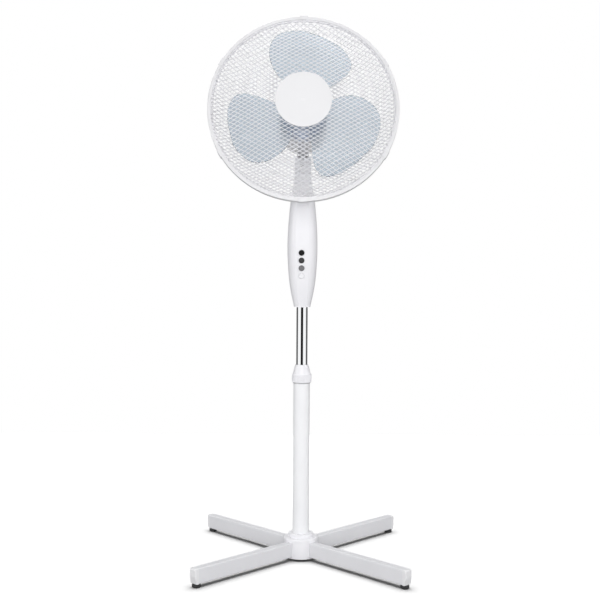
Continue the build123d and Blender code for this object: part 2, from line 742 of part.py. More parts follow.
write(housing_rear, "control_housing_rear")

# Screws that close the shells, driven from the rear
with BuildPart() as housing_screws:
    for side, rise in shell_screw_places():
        head = rear_depth(rise, side) - HOUSING_WALL - SHELL_SCREW_HEAD
        reach = face_depth(rise) * (0.5 if side else 1) - HOUSING_WALL
        with BuildSketch(Plane.XZ.offset(-head)):
            with Locations((side, housing_z + rise)):
                Circle(SHELL_SCREW_HEAD_DIA / 2)
        extrude(amount=-SHELL_SCREW_HEAD)
        with BuildSketch(Plane.XZ.offset(-head)):
            with Locations((side, housing_z + rise)):
                Circle(SHELL_SCREW_DIA / 2)
        extrude(amount=head + reach)
write(housing_screws, "housing_screws")

# Socket capping the top of the chrome tube
with BuildPart() as mast_socket:
    with BuildSketch(Plane.XY.offset(housing_z + SOCKET_RISE)):
        Circle(SOCKET_RADIUS)
    extrude(amount=TUBE_IN_HOUSING + SOCKET_CAP - SOCKET_RISE)
    with BuildSketch(Plane.XY.offset(housing_z + SOCKET_RISE)):
        Circle(TUBE_DIA / 2 + RUN)
    extrude(amount=TUBE_IN_HOUSING - SOCKET_RISE, mode=Mode.SUBTRACT)
    with BuildSketch(Plane.XZ):
        with Locations((0, housing_z + MAST_SCREW_RISE)):
            Circle(MAST_SCREW_DIA / 2 + RUN)
    extrude(amount=-SOCKET_RADIUS, mode=Mode.SUBTRACT)
write(mast_socket, "mast_socket")

# Cross screw that pins the socket to the tube
with BuildPart() as mast_screw:
    with BuildSketch(Plane.XZ.offset(-SOCKET_RADIUS)):
        with Locations((0, housing_z + MAST_SCREW_RISE)):
            Circle(MAST_SCREW_HEAD_DIA / 2)
    extrude(amount=-HOUSING_WALL)
    with BuildSketch(Plane.XZ.offset(-SOCKET_RADIUS)):
        with Locations((0, housing_z + MAST_SCREW_RISE)):
            Circle(MAST_SCREW_DIA / 2)
    extrude(amount=SOCKET_RADIUS - TUBE_DIA / 2 + 2 * TUBE_WALL)
write(mast_screw, "mast_screw")

# Switch block behind the buttons
with BuildPart() as switch_block:
    with BuildSketch(Plane.XZ.offset(-block_back)):
        with Locations((BUTTON_SHIFT, housing_z + BUTTON_RISE)):
            RectangleRounded(
                BLOCK_WIDTH,
                block_rises[1] - block_rises[0] + 2 * BLOCK_MARGIN,
                BUTTON_ROUND,
            )
    extrude(amount=BLOCK_DEPTH)
    for rise in button_rises:
        stem_end = BUTTON_LENGTH - BUTTON_PROUD
        with BuildSketch(Plane.XZ.offset(block_back)):
            with Locations((BUTTON_SHIFT, housing_z + rise)):
                Circle(BUTTON_STEM_DIA / 2)
        extrude(amount=face_depth(rise) - stem_end - block_back - BUTTON_STROKE - GAP)
write(switch_block, "switch_block")

# Push buttons, each sliding in its own hole
for name, rise in zip(BUTTON_NAMES, button_rises):
    with BuildPart() as button:
        with BuildSketch(Plane.XZ.offset(face_depth(rise) + BUTTON_PROUD - BUTTON_LENGTH)):
            with Locations((BUTTON_SHIFT, housing_z + rise)):
                Circle(BUTTON_DIA / 2)
        extrude(amount=BUTTON_LENGTH)
        fillet(button.edges().group_by(Axis.Y)[0], BUTTON_ROUND)
    write(button, f"button_{name}")

# Cord gland in the rear shell
gland_face = rear_depth(GLAND_RISE)
with BuildPart() as cord_gland:
    with BuildSketch(Plane.XZ.offset(-gland_face - GLAND_TAIL)):
        with Locations((0, housing_z + GLAND_RISE)):
            Circle(GLAND_DIA / 2)
    extrude(amount=2 * GLAND_TAIL)
    with BuildSketch(Plane.XZ.offset(-gland_face - GLAND_FLANGE)):
        with Locations((0, housing_z + GLAND_RISE)):
            Circle(GLAND_FLANGE_DIA / 2)
    extrude(amount=-GLAND_FLANGE)
    with BuildSketch(Plane.XZ.offset(-gland_face - GLAND_TAIL)):
        with Locations((0, housing_z + GLAND_RISE)):
            Circle(GLAND_BORE_DIA / 2)
    extrude(amount=2 * GLAND_TAIL, mode=Mode.SUBTRACT)
write(cord_gland, "cord_gland")

# Tilt yoke: plug in the housing, cap on its rim and two ears
with BuildPart() as tilt_yoke:
    with BuildSketch(Plane.XY.offset(housing_top - YOKE_PLUG_DEPTH)):
        Circle(YOKE_PLUG_RADIUS)
    extrude(amount=YOKE_PLUG_DEPTH)
    extrude(front_section(HOUSING_HEIGHT, HOUSING_TOP_HALF), amount=YOKE_CAP)
    extrude(rear_section(HOUSING_HEIGHT, HOUSING_TOP_HALF), amount=YOKE_CAP)
    for side, ear_gap in EAR_GAPS.items():
        ear_inner = side * TONGUE_SHIFT + TONGUE_WIDTH / 2 + ear_gap
        with BuildSketch(Plane.YZ.offset(side * ear_inner)):
            with Locations((0, tilt_z)):
                Circle(EAR_RADIUS)
            with Locations((0, (housing_top + tilt_z) / 2)):
                Rectangle(2 * EAR_RADIUS, TILT_RISE)
            with Locations((0, tilt_z)):
                Circle(TILT_PIN_DIA / 2 + RUN, mode=Mode.SUBTRACT)
        extrude(amount=side * (EAR_OUTER_HALF - ear_inner))
        with BuildSketch(Plane.YZ.offset(side * (EAR_OUTER_HALF - TILT_HEAD))):
            with Locations((0, tilt_z)):
                Circle(TILT_HEAD_DIA / 2 + RUN)
        extrude(amount=side * TILT_HEAD, mode=Mode.SUBTRACT)
    with BuildSketch(Plane.XZ.offset(-2 * YOKE_PLUG_RADIUS)):
        with Locations((0, housing_top - YOKE_SCREW_DEPTH)):
            Circle(SHELL_SCREW_DIA / 2 + RUN)
    extrude(amount=4 * YOKE_PLUG_RADIUS, mode=Mode.SUBTRACT)
write(tilt_yoke, "tilt_yoke")

# Tilt bolt through both ears, and its nut
with BuildPart() as tilt_bolt:
    with BuildSketch(Plane.YZ.offset(TILT_HEAD - EAR_OUTER_HALF)):
        with Locations((0, tilt_z)):
            Circle(TILT_PIN_DIA / 2)
    extrude(amount=2 * (EAR_OUTER_HALF - TILT_HEAD))
    with BuildSketch(Plane.YZ.offset(EAR_OUTER_HALF - TILT_HEAD)):
        with Locations((0, tilt_z)):
            Circle(TILT_HEAD_DIA / 2)
    extrude(amount=TILT_HEAD)
write(tilt_bolt, "tilt_bolt")

with BuildPart() as tilt_nut:
    with BuildSketch(Plane.YZ.offset(-EAR_OUTER_HALF)):
        with Locations((0, tilt_z)):
            RegularPolygon(TILT_HEAD_DIA / 2, 6)
    extrude(amount=TILT_HEAD)
write(tilt_nut, "tilt_nut")

# Swing linkage, drawn in the plane of the swivel: the link lies square to the lever and the crank
wheel_side = WORM_RADIUS + GEAR_GAP + WHEEL_RADIUS
link_share = LEVER_LENGTH - CRANK_THROW
link_span = sqrt(wheel_side**2 + WHEEL_BACK**2 - link_share**2)
lever_x = (link_share * wheel_side + link_span * WHEEL_BACK) / (wheel_side**2 + WHEEL_BACK**2)
lever_y = (link_share * WHEEL_BACK - link_span * wheel_side) / (wheel_side**2 + WHEEL_BACK**2)
lever_pin = (LEVER_LENGTH * lever_x, LEVER_LENGTH * lever_y)
crank_centre = (wheel_side, WHEEL_BACK)
crank_pin = (wheel_side + CRANK_THROW * lever_x, WHEEL_BACK + CRANK_THROW * lever_y)

# Neck: tongue in the yoke, round collar, swivel post and the lever for the swing link
with BuildPart() as neck:
    with BuildSketch(Plane.YZ.offset(TONGUE_SHIFT)):
        Circle(TONGUE_RADIUS)
        with Locations((0, COLLAR_BOTTOM / 2)):
            Rectangle(2 * TONGUE_RADIUS, COLLAR_BOTTOM)
        Circle(TILT_PIN_DIA / 2 + RUN, mode=Mode.SUBTRACT)
    extrude(amount=TONGUE_WIDTH / 2, both=True)
    with BuildSketch(Plane.XY.offset(COLLAR_BOTTOM)):
        Circle(COLLAR_RADIUS)
    extrude(amount=COLLAR_TOP - COLLAR_BOTTOM)
    fillet(neck.edges().filter_by(GeomType.CIRCLE).group_by(Axis.Z)[-2], COLLAR_ROUND)
    with BuildSketch(Plane.XY.offset(COLLAR_TOP)):
        Circle(POST_DIA / 2)
    extrude(amount=POST_TOP - COLLAR_TOP)
    with BuildSketch(Plane.XY.offset(GROOVE_LOW)):
        Circle(POST_DIA / 2)
        Circle(POST_DIA / 2 - GROOVE_DEPTH, mode=Mode.SUBTRACT)
    extrude(amount=GROOVE_HIGH - GROOVE_LOW, mode=Mode.SUBTRACT)
    lever_turn = Plane(origin=(0, 0, COLLAR_TOP), x_dir=(lever_x, lever_y, 0), z_dir=(0, 0, 1))
    lever_inner = THRUST_WASHER_RADIUS + GAP
    with BuildSketch(lever_turn):
        with Locations(((lever_inner + COLLAR_RADIUS - LEG_CORNER) / 2, 0)):
            Rectangle(COLLAR_RADIUS - LEG_CORNER - lever_inner, 2 * LEVER_ROUND)
    extrude(amount=LEVER_TOP - COLLAR_TOP)
    with BuildSketch(lever_turn.offset(LEVER_BOTTOM - COLLAR_TOP)):
        with Locations(((lever_inner + LEVER_LENGTH) / 2, 0)):
            Rectangle(LEVER_LENGTH - lever_inner, 2 * LEVER_ROUND)
        with Locations((LEVER_LENGTH, 0)):
            Circle(LEVER_ROUND)
    extrude(amount=LEVER_TOP - LEVER_BOTTOM)
    with BuildSketch(Plane.XY.offset(LEVER_TOP)):
        with Locations(lever_pin):
            Circle(LEVER_PIN_DIA / 2)
    extrude(amount=LEVER_PIN_TOP - LEVER_TOP)
write(neck, "neck", neck_place)

with BuildPart() as swivel_washer:
    with BuildSketch(Plane.XY.offset(COLLAR_TOP)):
        Circle(THRUST_WASHER_RADIUS)
        Circle(POST_DIA / 2 + RUN, mode=Mode.SUBTRACT)
    extrude(amount=THRUST_WASHER)
write(swivel_washer, "swivel_washer", neck_place)

# Motor frame: rear end bell, foot plate under the stator and swivel socket
bell_back = STATOR_BACK - BELL_DEPTH
frame_back = bell_back - BELL_PLATE
with BuildPart() as motor_frame:
    with BuildSketch(Plane.XY.offset(frame_back)):
        Circle(BELL_RADIUS)
        with PolarLocations(EAR_CIRCLE, 4, 45):
            Circle(BELL_EAR_RADIUS)
    extrude(amount=BELL_PLATE)
    with BuildSketch(Plane.XY.offset(bell_back)):
        Circle(BELL_RADIUS)
        Circle(BELL_INNER, mode=Mode.SUBTRACT)
    extrude(amount=BELL_DEPTH)
    with BuildSketch(Plane.XY.offset(frame_back - BELL_BOSS)):
        Circle(BELL_BOSS_RADIUS)
    extrude(amount=BELL_BOSS)
    with BuildSketch(Plane.XY.offset(frame_back - BELL_BOSS)):
        Circle(BEARING_RADIUS + RUN)
    extrude(amount=BELL_BOSS + BELL_PLATE, mode=Mode.SUBTRACT)
    with BuildSketch(Plane.XZ.offset(AXIS_RISE - FRAME_PLATE_LOW)):
        with Locations((0, (frame_back + FRAME_PLATE_FRONT) / 2)):
            Rectangle(2 * FRAME_HALF, FRAME_PLATE_FRONT - frame_back)
    extrude(amount=FRAME_PLATE_LOW - FRAME_PLATE_HIGH)
    with BuildSketch(Plane.XZ.offset(AXIS_RISE - FRAME_PLATE_LOW)):
        with Locations((0, frame_back + BELL_PLATE / 2)):
            Rectangle(2 * FRAME_HALF, BELL_PLATE)
    extrude(amount=FRAME_PLATE_LOW - AXIS_RISE + BELL_INNER)
    with BuildSketch(Plane.XZ.offset(AXIS_RISE - COLLAR_TOP - THRUST_WASHER - GAP)):
        Circle(SWIVEL_BOSS_RADIUS)
    extrude(amount=COLLAR_TOP + THRUST_WASHER + GAP - FRAME_PLATE_HIGH)
    with BuildSketch(Plane.XZ.offset(AXIS_RISE - COLLAR_TOP)):
        Circle(POST_DIA / 2 + RUN)
    extrude(amount=COLLAR_TOP - FRAME_PLATE_HIGH, mode=Mode.SUBTRACT)
    with BuildSketch(Plane.XY.offset(-SWIVEL_BOSS_RADIUS)):
        with Locations((0, (GROOVE_LOW + GROOVE_HIGH) / 2 - AXIS_RISE)):
            Circle(SET_SCREW_DIA / 2 + RUN)
    extrude(amount=SWIVEL_BOSS_RADIUS - POST_DIA / 2 + GROOVE_DEPTH, mode=Mode.SUBTRACT)
    with BuildSketch(Plane.XY.offset(frame_back)):
        with PolarLocations(EAR_CIRCLE, 4, 45):
            Circle(MOTOR_BOLT_DIA / 2 + RUN)
    extrude(amount=BELL_PLATE, mode=Mode.SUBTRACT)
write(motor_frame, "motor_frame", motor_place)

with BuildPart() as swivel_set_screw:
    with BuildSketch(Plane.XY.offset(-SET_SCREW_END)):
        with Locations((0, (GROOVE_LOW + GROOVE_HIGH) / 2 - AXIS_RISE)):
            Circle(SET_SCREW_DIA / 2)
    extrude(amount=SET_SCREW_END - POST_DIA / 2 + GROOVE_DEPTH - 2 * GAP)
write(swivel_set_screw, "swivel_set_screw", motor_place)

# Stator core with its winding slots, and the coil that threads them
with BuildPart() as stator_core:
    with BuildSketch(Plane.XY.offset(STATOR_BACK)):
        Circle(STATOR_RADIUS)
        Circle(STATOR_BORE, mode=Mode.SUBTRACT)
        with PolarLocations(SLOT_CIRCLE, STATOR_SLOTS):
            Circle(SLOT_RADIUS, mode=Mode.SUBTRACT)
    extrude(amount=STATOR_FRONT - STATOR_BACK)
write(stator_core, "stator_core", motor_place)

with BuildPart() as windings:
    with BuildSketch(Plane.XY.offset(STATOR_BACK)):
        with PolarLocations(SLOT_CIRCLE, STATOR_SLOTS):
            Circle(COIL_RADIUS)
    extrude(amount=STATOR_FRONT - STATOR_BACK)
    for end, way in ((STATOR_FRONT, 1), (STATOR_BACK, -1)):
        with BuildSketch(Plane.XY.offset(end)):
            Circle(COIL_OUTER)
            Circle(COIL_INNER, mode=Mode.SUBTRACT)
        extrude(amount=way * COIL_OUT)
write(windings, "windings", motor_place)

# Front end bell
bell_front = STATOR_FRONT + BELL_DEPTH
cover_back = bell_front + BELL_PLATE
with BuildPart() as front_end_bell:
    with BuildSketch(Plane.XY.offset(bell_front)):
        Circle(BELL_RADIUS)
        with PolarLocations(EAR_CIRCLE, 4, 45):
            Circle(BELL_EAR_RADIUS)
    extrude(amount=BELL_PLATE)
    with BuildSketch(Plane.XY.offset(STATOR_FRONT)):
        Circle(BELL_RADIUS)
        Circle(BELL_INNER, mode=Mode.SUBTRACT)
    extrude(amount=BELL_DEPTH)
    with BuildSketch(Plane.XY.offset(cover_back)):
        Circle(BELL_BOSS_RADIUS)
    extrude(amount=BELL_BOSS)
    with BuildSketch(Plane.XY.offset(bell_front)):
        Circle(BEARING_RADIUS + RUN)
        with PolarLocations(EAR_CIRCLE, 4, 45):
            Circle(MOTOR_BOLT_DIA / 2 + RUN)
    extrude(amount=BELL_PLATE + BELL_BOSS, mode=Mode.SUBTRACT)
write(front_end_bell, "front_end_bell", motor_place)

# Bearings in the two bells
bearing_backs = (cover_back + BELL_BOSS - BEARING_LENGTH, frame_back - BELL_BOSS)
with BuildPart() as bearings:
    for back in bearing_backs:
        with BuildSketch(Plane.XY.offset(back)):
            Circle(BEARING_RADIUS)
            Circle(SHAFT_DIA / 2 + RUN, mode=Mode.SUBTRACT)
        extrude(amount=BEARING_LENGTH)
write(bearings, "bearings", motor_place)

# Through bolts from the front cover to the rear bell
cover_front = cover_back + COVER_PLATE
with BuildPart() as motor_bolts:
    with BuildSketch(Plane.XY.offset(frame_back - MOTOR_BOLT_HEAD)):
        with PolarLocations(EAR_CIRCLE, 4, 45):
            Circle(MOTOR_BOLT_DIA / 2)
    extrude(amount=cover_front + MOTOR_BOLT_HEAD - frame_back)
    with BuildSketch(Plane.XY.offset(cover_front)):
        with PolarLocations(EAR_CIRCLE, 4, 45):
            Circle(MOTOR_BOLT_HEAD_DIA / 2)
    extrude(amount=MOTOR_BOLT_HEAD)
    with BuildSketch(Plane.XY.offset(frame_back - MOTOR_BOLT_HEAD)):
        with PolarLocations(EAR_CIRCLE, 4, 45):
            RegularPolygon(MOTOR_BOLT_HEAD_DIA / 2, 6)
    extrude(amount=MOTOR_BOLT_HEAD)
write(motor_bolts, "motor_bolts", motor_place)

# Gear case behind the rear bell, with the spindle boss below and the knob chimney above
case_bottom = -CASE_HALF_HEIGHT
with BuildPart() as gear_case:
    with BuildSketch(Plane.XY.offset(-CASE_BACK)):
        with Locations(((CASE_RIGHT - CASE_LEFT) / 2, 0)):
            Rectangle(CASE_LEFT + CASE_RIGHT, 2 * CASE_HALF_HEIGHT)
    extrude(amount=CASE_BACK - CASE_FRONT)
    with BuildSketch(Plane.XY.offset(-CASE_BACK)):
        with Locations(((CASE_RIGHT - CASE_LEFT) / 2, 0)):
            Rectangle(
                CASE_LEFT + CASE_RIGHT - 2 * CASE_WALL,
                2 * (CASE_HALF_HEIGHT - CASE_WALL),
            )
    extrude(amount=CASE_BACK - CASE_FRONT - CASE_WALL, mode=Mode.SUBTRACT)
    with BuildSketch(Plane.XZ.offset(-case_bottom)):
        with Locations((wheel_side, -WHEEL_BACK)):
            Circle(CASE_BOSS_RADIUS)
    extrude(amount=CASE_BOSS_DROP)
    with BuildSketch(Plane.XZ.offset(case_bottom)):
        with Locations((wheel_side, -WHEEL_BACK)):
            Circle(CASE_BOSS_RADIUS)
    extrude(amount=-CASE_CHIMNEY)
    with BuildSketch(Plane.XZ.offset(-case_bottom - CASE_WALL)):
        with Locations((wheel_side, -WHEEL_BACK)):
            Circle(SPINDLE_DIA / 2 + RUN)
    extrude(amount=CASE_WALL + CASE_BOSS_DROP, mode=Mode.SUBTRACT)
    with BuildSketch(Plane.XZ.offset(case_bottom + CASE_WALL)):
        with Locations((wheel_side, -WHEEL_BACK)):
            Circle(KNOB_ROD_DIA / 2 + RUN)
    extrude(amount=-CASE_WALL - CASE_CHIMNEY, mode=Mode.SUBTRACT)
    with BuildSketch(Plane.XY.offset(-CASE_FRONT - CASE_WALL)):
        Circle(WORM_RADIUS + GEAR_GAP)
    extrude(amount=CASE_WALL, mode=Mode.SUBTRACT)
write(gear_case, "gear_case", motor_place)

# Gear case lid, with the post that takes the cowl screw
lid_back = -CASE_BACK - CASE_WALL
post_back = lid_back - COWL_POST
with BuildPart() as gear_cover:
    with BuildSketch(Plane.XY.offset(lid_back)):
        with Locations(((CASE_RIGHT - CASE_LEFT) / 2, 0)):
            Rectangle(CASE_LEFT + CASE_RIGHT, 2 * CASE_HALF_HEIGHT)
    extrude(amount=CASE_WALL)
    with BuildSketch(Plane.XY.offset(post_back)):
        Circle(COWL_SCREW_HEAD_DIA / 2 + RUN)
    extrude(amount=COWL_POST)
    with BuildSketch(Plane.XY.offset(post_back)):
        Circle(COWL_SCREW_DIA / 2 + RUN)
    extrude(amount=COWL_POST, mode=Mode.SUBTRACT)
write(gear_cover, "gear_cover", motor_place)

# Worm wheel, free on the crank spindle until the clutch is pressed in
with BuildPart() as worm_wheel:
    with BuildSketch(Plane.XZ.offset(-WHEEL_HEIGHT / 2)):
        with Locations((wheel_side, -WHEEL_BACK)):
            Circle(WHEEL_RADIUS)
            Circle(SPINDLE_DIA / 2 + RUN, mode=Mode.SUBTRACT)
            with PolarLocations(WHEEL_RADIUS, WHEEL_TEETH):
                Rectangle(2 * WHEEL_TOOTH, WHEEL_TOOTH, mode=Mode.SUBTRACT)
    extrude(amount=WHEEL_HEIGHT)
write(worm_wheel, "worm_wheel", motor_place)

# Crank spindle: shaft with a thrust collar, and the crank arm and pin below the gear case
with BuildPart() as crank_spindle:
    with BuildSketch(Plane.XY.offset(CRANK_HIGH)):
        with Locations(crank_centre):
            Circle(SPINDLE_DIA / 2)
    extrude(amount=AXIS_RISE + SPINDLE_TOP - CRANK_HIGH)
    with BuildSketch(Plane.XY.offset(AXIS_RISE + CASE_WALL + GAP - CASE_HALF_HEIGHT)):
        with Locations(crank_centre):
            Circle(CASE_BOSS_RADIUS - RUN)
    extrude(amount=CASE_HALF_HEIGHT - CASE_WALL - 2 * GAP - WHEEL_HEIGHT / 2)
    crank_turn = Plane(origin=(*crank_centre, CRANK_LOW), x_dir=(lever_x, lever_y, 0), z_dir=(0, 0, 1))
    with BuildSketch(crank_turn):
        Circle(CRANK_ROUND)
        with Locations((CRANK_THROW / 2, 0)):
            Rectangle(CRANK_THROW, 2 * CRANK_ROUND)
        with Locations((CRANK_THROW, 0)):
            Circle(CRANK_ROUND)
    extrude(amount=CRANK_HIGH - CRANK_LOW)
    with BuildSketch(Plane.XY.offset(LINK_LOW)):
        with Locations(crank_pin):
            Circle(CRANK_PIN_DIA / 2)
    extrude(amount=CRANK_LOW - LINK_LOW)
write(crank_spindle, "crank_spindle", neck_place)

# Swing link from the crank pin to the slack eye round the lever pin
link_plane = Plane(
    origin=(*crank_pin, LINK_LOW),
    x_dir=(lever_pin[0] - crank_pin[0], lever_pin[1] - crank_pin[1], 0),
    z_dir=(0, 0, 1),
)
with BuildPart() as crank_link:
    with BuildSketch(link_plane):
        Circle(CRANK_ROUND)
        with Locations((link_span / 2, 0)):
            Rectangle(link_span, 2 * LINK_HALF_WIDTH)
        with Locations((link_span, 0)):
            Circle(LINK_EYE)
            Circle(LINK_SLACK_RADIUS, mode=Mode.SUBTRACT)
        Circle(CRANK_PIN_DIA / 2 + RUN, mode=Mode.SUBTRACT)
    extrude(amount=LINK_HIGH - LINK_LOW)
write(crank_link, "crank_link", neck_place)

# Swing knob on its rod, above the spindle
rod_bottom = AXIS_RISE + SPINDLE_TOP + KNOB_TRAVEL + 2
cowl_top = AXIS_RISE + sqrt(COWL_RADIUS**2 - wheel_side**2)
knob_bottom = cowl_top + KNOB_LIFT
with BuildPart() as oscillation_knob:
    with BuildSketch(Plane.XY.offset(rod_bottom)):
        with Locations(crank_centre):
            Circle(KNOB_ROD_DIA / 2)
    extrude(amount=knob_bottom - rod_bottom)
    with BuildSketch(Plane.XY.offset(knob_bottom - KNOB_LIFT - 2 * KNOB_TRAVEL)):
        with Locations(crank_centre):
            Circle(KNOB_SLEEVE_DIA / 2)
    extrude(amount=KNOB_LIFT + 2 * KNOB_TRAVEL)
    with BuildSketch(Plane.XY.offset(knob_bottom)):
        with Locations(crank_centre):
            Circle(KNOB_DIA / 2)
    extrude(amount=KNOB_HEIGHT)
    fillet(oscillation_knob.edges().group_by(Axis.Z)[-1], LEG_CORNER)
write(oscillation_knob, "oscillation_knob", neck_place)

# Motor front cover with the threaded collar that carries the rear guard
with BuildPart() as motor_front_cover:
    with BuildSketch(Plane.XY.offset(cover_back)):
        Circle(COWL_RADIUS)
    extrude(amount=COVER_PLATE)
    fillet(motor_front_cover.edges().group_by(Axis.Z)[-1], COWL_WALL)
    with BuildSketch(Plane.XY.offset(cover_front)):
        Circle(COLLAR_THREAD_RADIUS)
    extrude(amount=COLLAR_LENGTH)
    with BuildSketch(Plane.XY.offset(cover_back)):
        Circle(COLLAR_BORE)
        with PolarLocations(EAR_CIRCLE, 4, 45):
            Circle(MOTOR_BOLT_DIA / 2 + RUN)
    extrude(amount=COVER_PLATE + COLLAR_LENGTH, mode=Mode.SUBTRACT)
write(motor_front_cover, "motor_front_cover", motor_place)


def cowl_profile(wall):
    """Side of the cowl, axis to skin: a slightly tapered barrel closed by a round tail."""
    tail = COWL_BACK - COWL_STRAIGHT
    radius = COWL_TAIL_RADIUS - wall
    depth = tail - wall
    quarter = sqrt(0.5)
    with BuildSketch(Plane.XZ) as profile:
        with BuildLine():
            Line((0, cover_back), (COWL_RADIUS - wall, cover_back))
            Line((COWL_RADIUS - wall, cover_back), (radius, -COWL_STRAIGHT))
            Spline(
                (radius, -COWL_STRAIGHT),
                (radius * quarter, -COWL_STRAIGHT - depth * quarter),
                (0, -COWL_STRAIGHT - depth),
                tangents=((0, -1), (-1, 0)),
            )
            Line((0, -COWL_STRAIGHT - depth), (0, cover_back))
        make_face()
    return profile.sketch


# Cowl over the motor: openings for the neck, the knob and the cooling air
with BuildPart() as motor_cowl:
    revolve(cowl_profile(0), axis=Axis.Z)
    revolve(cowl_profile(COWL_WALL), axis=Axis.Z, mode=Mode.SUBTRACT)
    with BuildSketch(Plane.XZ):
        Circle(COLLAR_RADIUS + 5 * GAP)
    extrude(amount=COWL_RADIUS, mode=Mode.SUBTRACT)
    with BuildSketch(Plane.XZ):
        with Locations((wheel_side, -WHEEL_BACK)):
            Circle(KNOB_SLEEVE_DIA / 2 + 2 * GAP)
    extrude(amount=-COWL_RADIUS, mode=Mode.SUBTRACT)
    with BuildSketch(Plane.XY.offset(-COWL_BACK)):
        with GridLocations(COWL_VENT_PITCH, 1, COWL_VENTS, 1):
            with Locations((0, 1.7 * COWL_VENT_HALF), (0, -1.7 * COWL_VENT_HALF)):
                SlotOverall(COWL_VENT_HALF, COWL_VENT_WIDTH, rotation=90)
    extrude(amount=COWL_BACK - COWL_STRAIGHT, mode=Mode.SUBTRACT)
    with BuildSketch(Plane.XY.offset(post_back - GAP)):
        Circle(COWL_SCREW_HEAD_DIA / 2 + COWL_WALL)
    extrude(amount=post_back - GAP - COWL_WALL / 2 + COWL_BACK, dir=(0, 0, -1))
    with BuildSketch(Plane.XY.offset(post_back)):
        Circle(COWL_SCREW_DIA / 2 + RUN)
    extrude(amount=COWL_BACK, dir=(0, 0, -1), mode=Mode.SUBTRACT)
    with BuildSketch(Plane.XY.offset(post_back - 2 * COWL_WALL)):
        Circle(COWL_SCREW_HEAD_DIA / 2 + RUN)
    extrude(amount=COWL_BACK, dir=(0, 0, -1), mode=Mode.SUBTRACT)
write(motor_cowl, "motor_cowl", motor_place)

with BuildPart() as cowl_screw:
    with BuildSketch(Plane.XY.offset(post_back - 2 * COWL_WALL)):
        Circle(COWL_SCREW_HEAD_DIA / 2)
    extrude(amount=COWL_WALL, dir=(0, 0, -1))
    with BuildSketch(Plane.XY.offset(post_back - 2 * COWL_WALL)):
        Circle(COWL_SCREW_DIA / 2)
    extrude(amount=2 * COWL_WALL + COWL_POST / 2)
write(cowl_screw, "cowl_screw", motor_place)

# Guards: domes of diamond net between a centre plate and a flat rim
rim_radius = GUARD_RADIUS - TRIM_WIDTH - GAP
dome_radius = rim_radius - RIM_INSET
rear_rim = RING_FORWARD - TRIM_RIB / 2 - GAP - NET_THICK
front_rim = RING_FORWARD + TRIM_RIB / 2 + GAP
rear_centre = rear_rim - REAR_DEPTH
front_centre = front_rim + FRONT_DEPTH


def dome_band(inner, centre, rim):
    """Thin arched band from the centre plate to the rim, ready to be spun."""
    mid = rim + (centre - rim) * DOME_MID_RISE
    dome_mid = inner + (dome_radius - inner) * DOME_MID_SHARE
    with BuildSketch(Plane.XZ) as band:
        with BuildLine():
            ThreePointArc((inner, centre), (dome_mid, mid), (dome_radius, rim))
            Line((dome_radius, rim), (dome_radius, rim + NET_THICK))
            ThreePointArc(
                (dome_radius, rim + NET_THICK),
                (dome_mid, mid + NET_THICK),
                (inner, centre + NET_THICK),
            )
            Line((inner, centre + NET_THICK), (inner, centre))
        make_face()
    return band.sketch


def net_sketch(inner, back):
    """Disc pierced by diamonds whose sides lie at the net's angle."""
    height = NET_PITCH * tan(radians(NET_ANGLE))
    half_x = NET_PITCH / 2 - NET_STRAND / 2 / sin(radians(NET_ANGLE))
    half_y = height / 2 - NET_STRAND / 2 / cos(radians(NET_ANGLE))
    count = int(GUARD_RADIUS / height) + 1
    gaps = [
        (NET_PITCH * (i + shift), height * (j + shift))
        for i in range(-count, count + 1)
        for j in range(-count, count + 1)
        for shift in (0, 0.5)
    ]
    kept = [g for g in gaps if inner - half_x < sqrt(g[0] ** 2 + g[1] ** 2) < rim_radius]
    with BuildSketch(Plane.XY.offset(back)) as net:
        Circle(rim_radius)
        with Locations(*kept):
            Polygon((half_x, 0), (0, half_y), (-half_x, 0), (0, -half_y), mode=Mode.SUBTRACT)
    return net.sketch


def ring(inner, outer, back):
    """Flat ring about the motor axis."""
    with BuildSketch(Plane.XY.offset(back)) as flat:
        Circle(outer)
        Circle(inner, mode=Mode.SUBTRACT)
    return flat.sketch


with BuildPart() as rear_guard:
    revolve(dome_band(REAR_CENTRE_RADIUS, rear_centre, rear_rim), axis=Axis.Z)
    extrude(net_sketch(REAR_CENTRE_RADIUS, rear_centre), amount=REAR_DEPTH + NET_THICK, mode=Mode.INTERSECT)
    extrude(ring(dome_radius - NET_THICK, rim_radius, rear_rim), amount=NET_THICK)
    rear_plate = ring(COLLAR_THREAD_RADIUS + RUN, REAR_CENTRE_RADIUS + NET_THICK, rear_centre)
    extrude(rear_plate, amount=NET_THICK)
write(rear_guard, "rear_guard", motor_place)

with BuildPart() as front_guard:
    revolve(dome_band(FRONT_CENTRE_RADIUS, front_centre, front_rim), axis=Axis.Z)
    extrude(net_sketch(FRONT_CENTRE_RADIUS, front_rim), amount=FRONT_DEPTH + NET_THICK, mode=Mode.INTERSECT)
    extrude(ring(dome_radius - NET_THICK, rim_radius, front_rim), amount=NET_THICK)
    extrude(ring(CENTRE_HOLE, FRONT_CENTRE_RADIUS + NET_THICK, front_centre), amount=NET_THICK)
write(front_guard, "front_guard", motor_place)

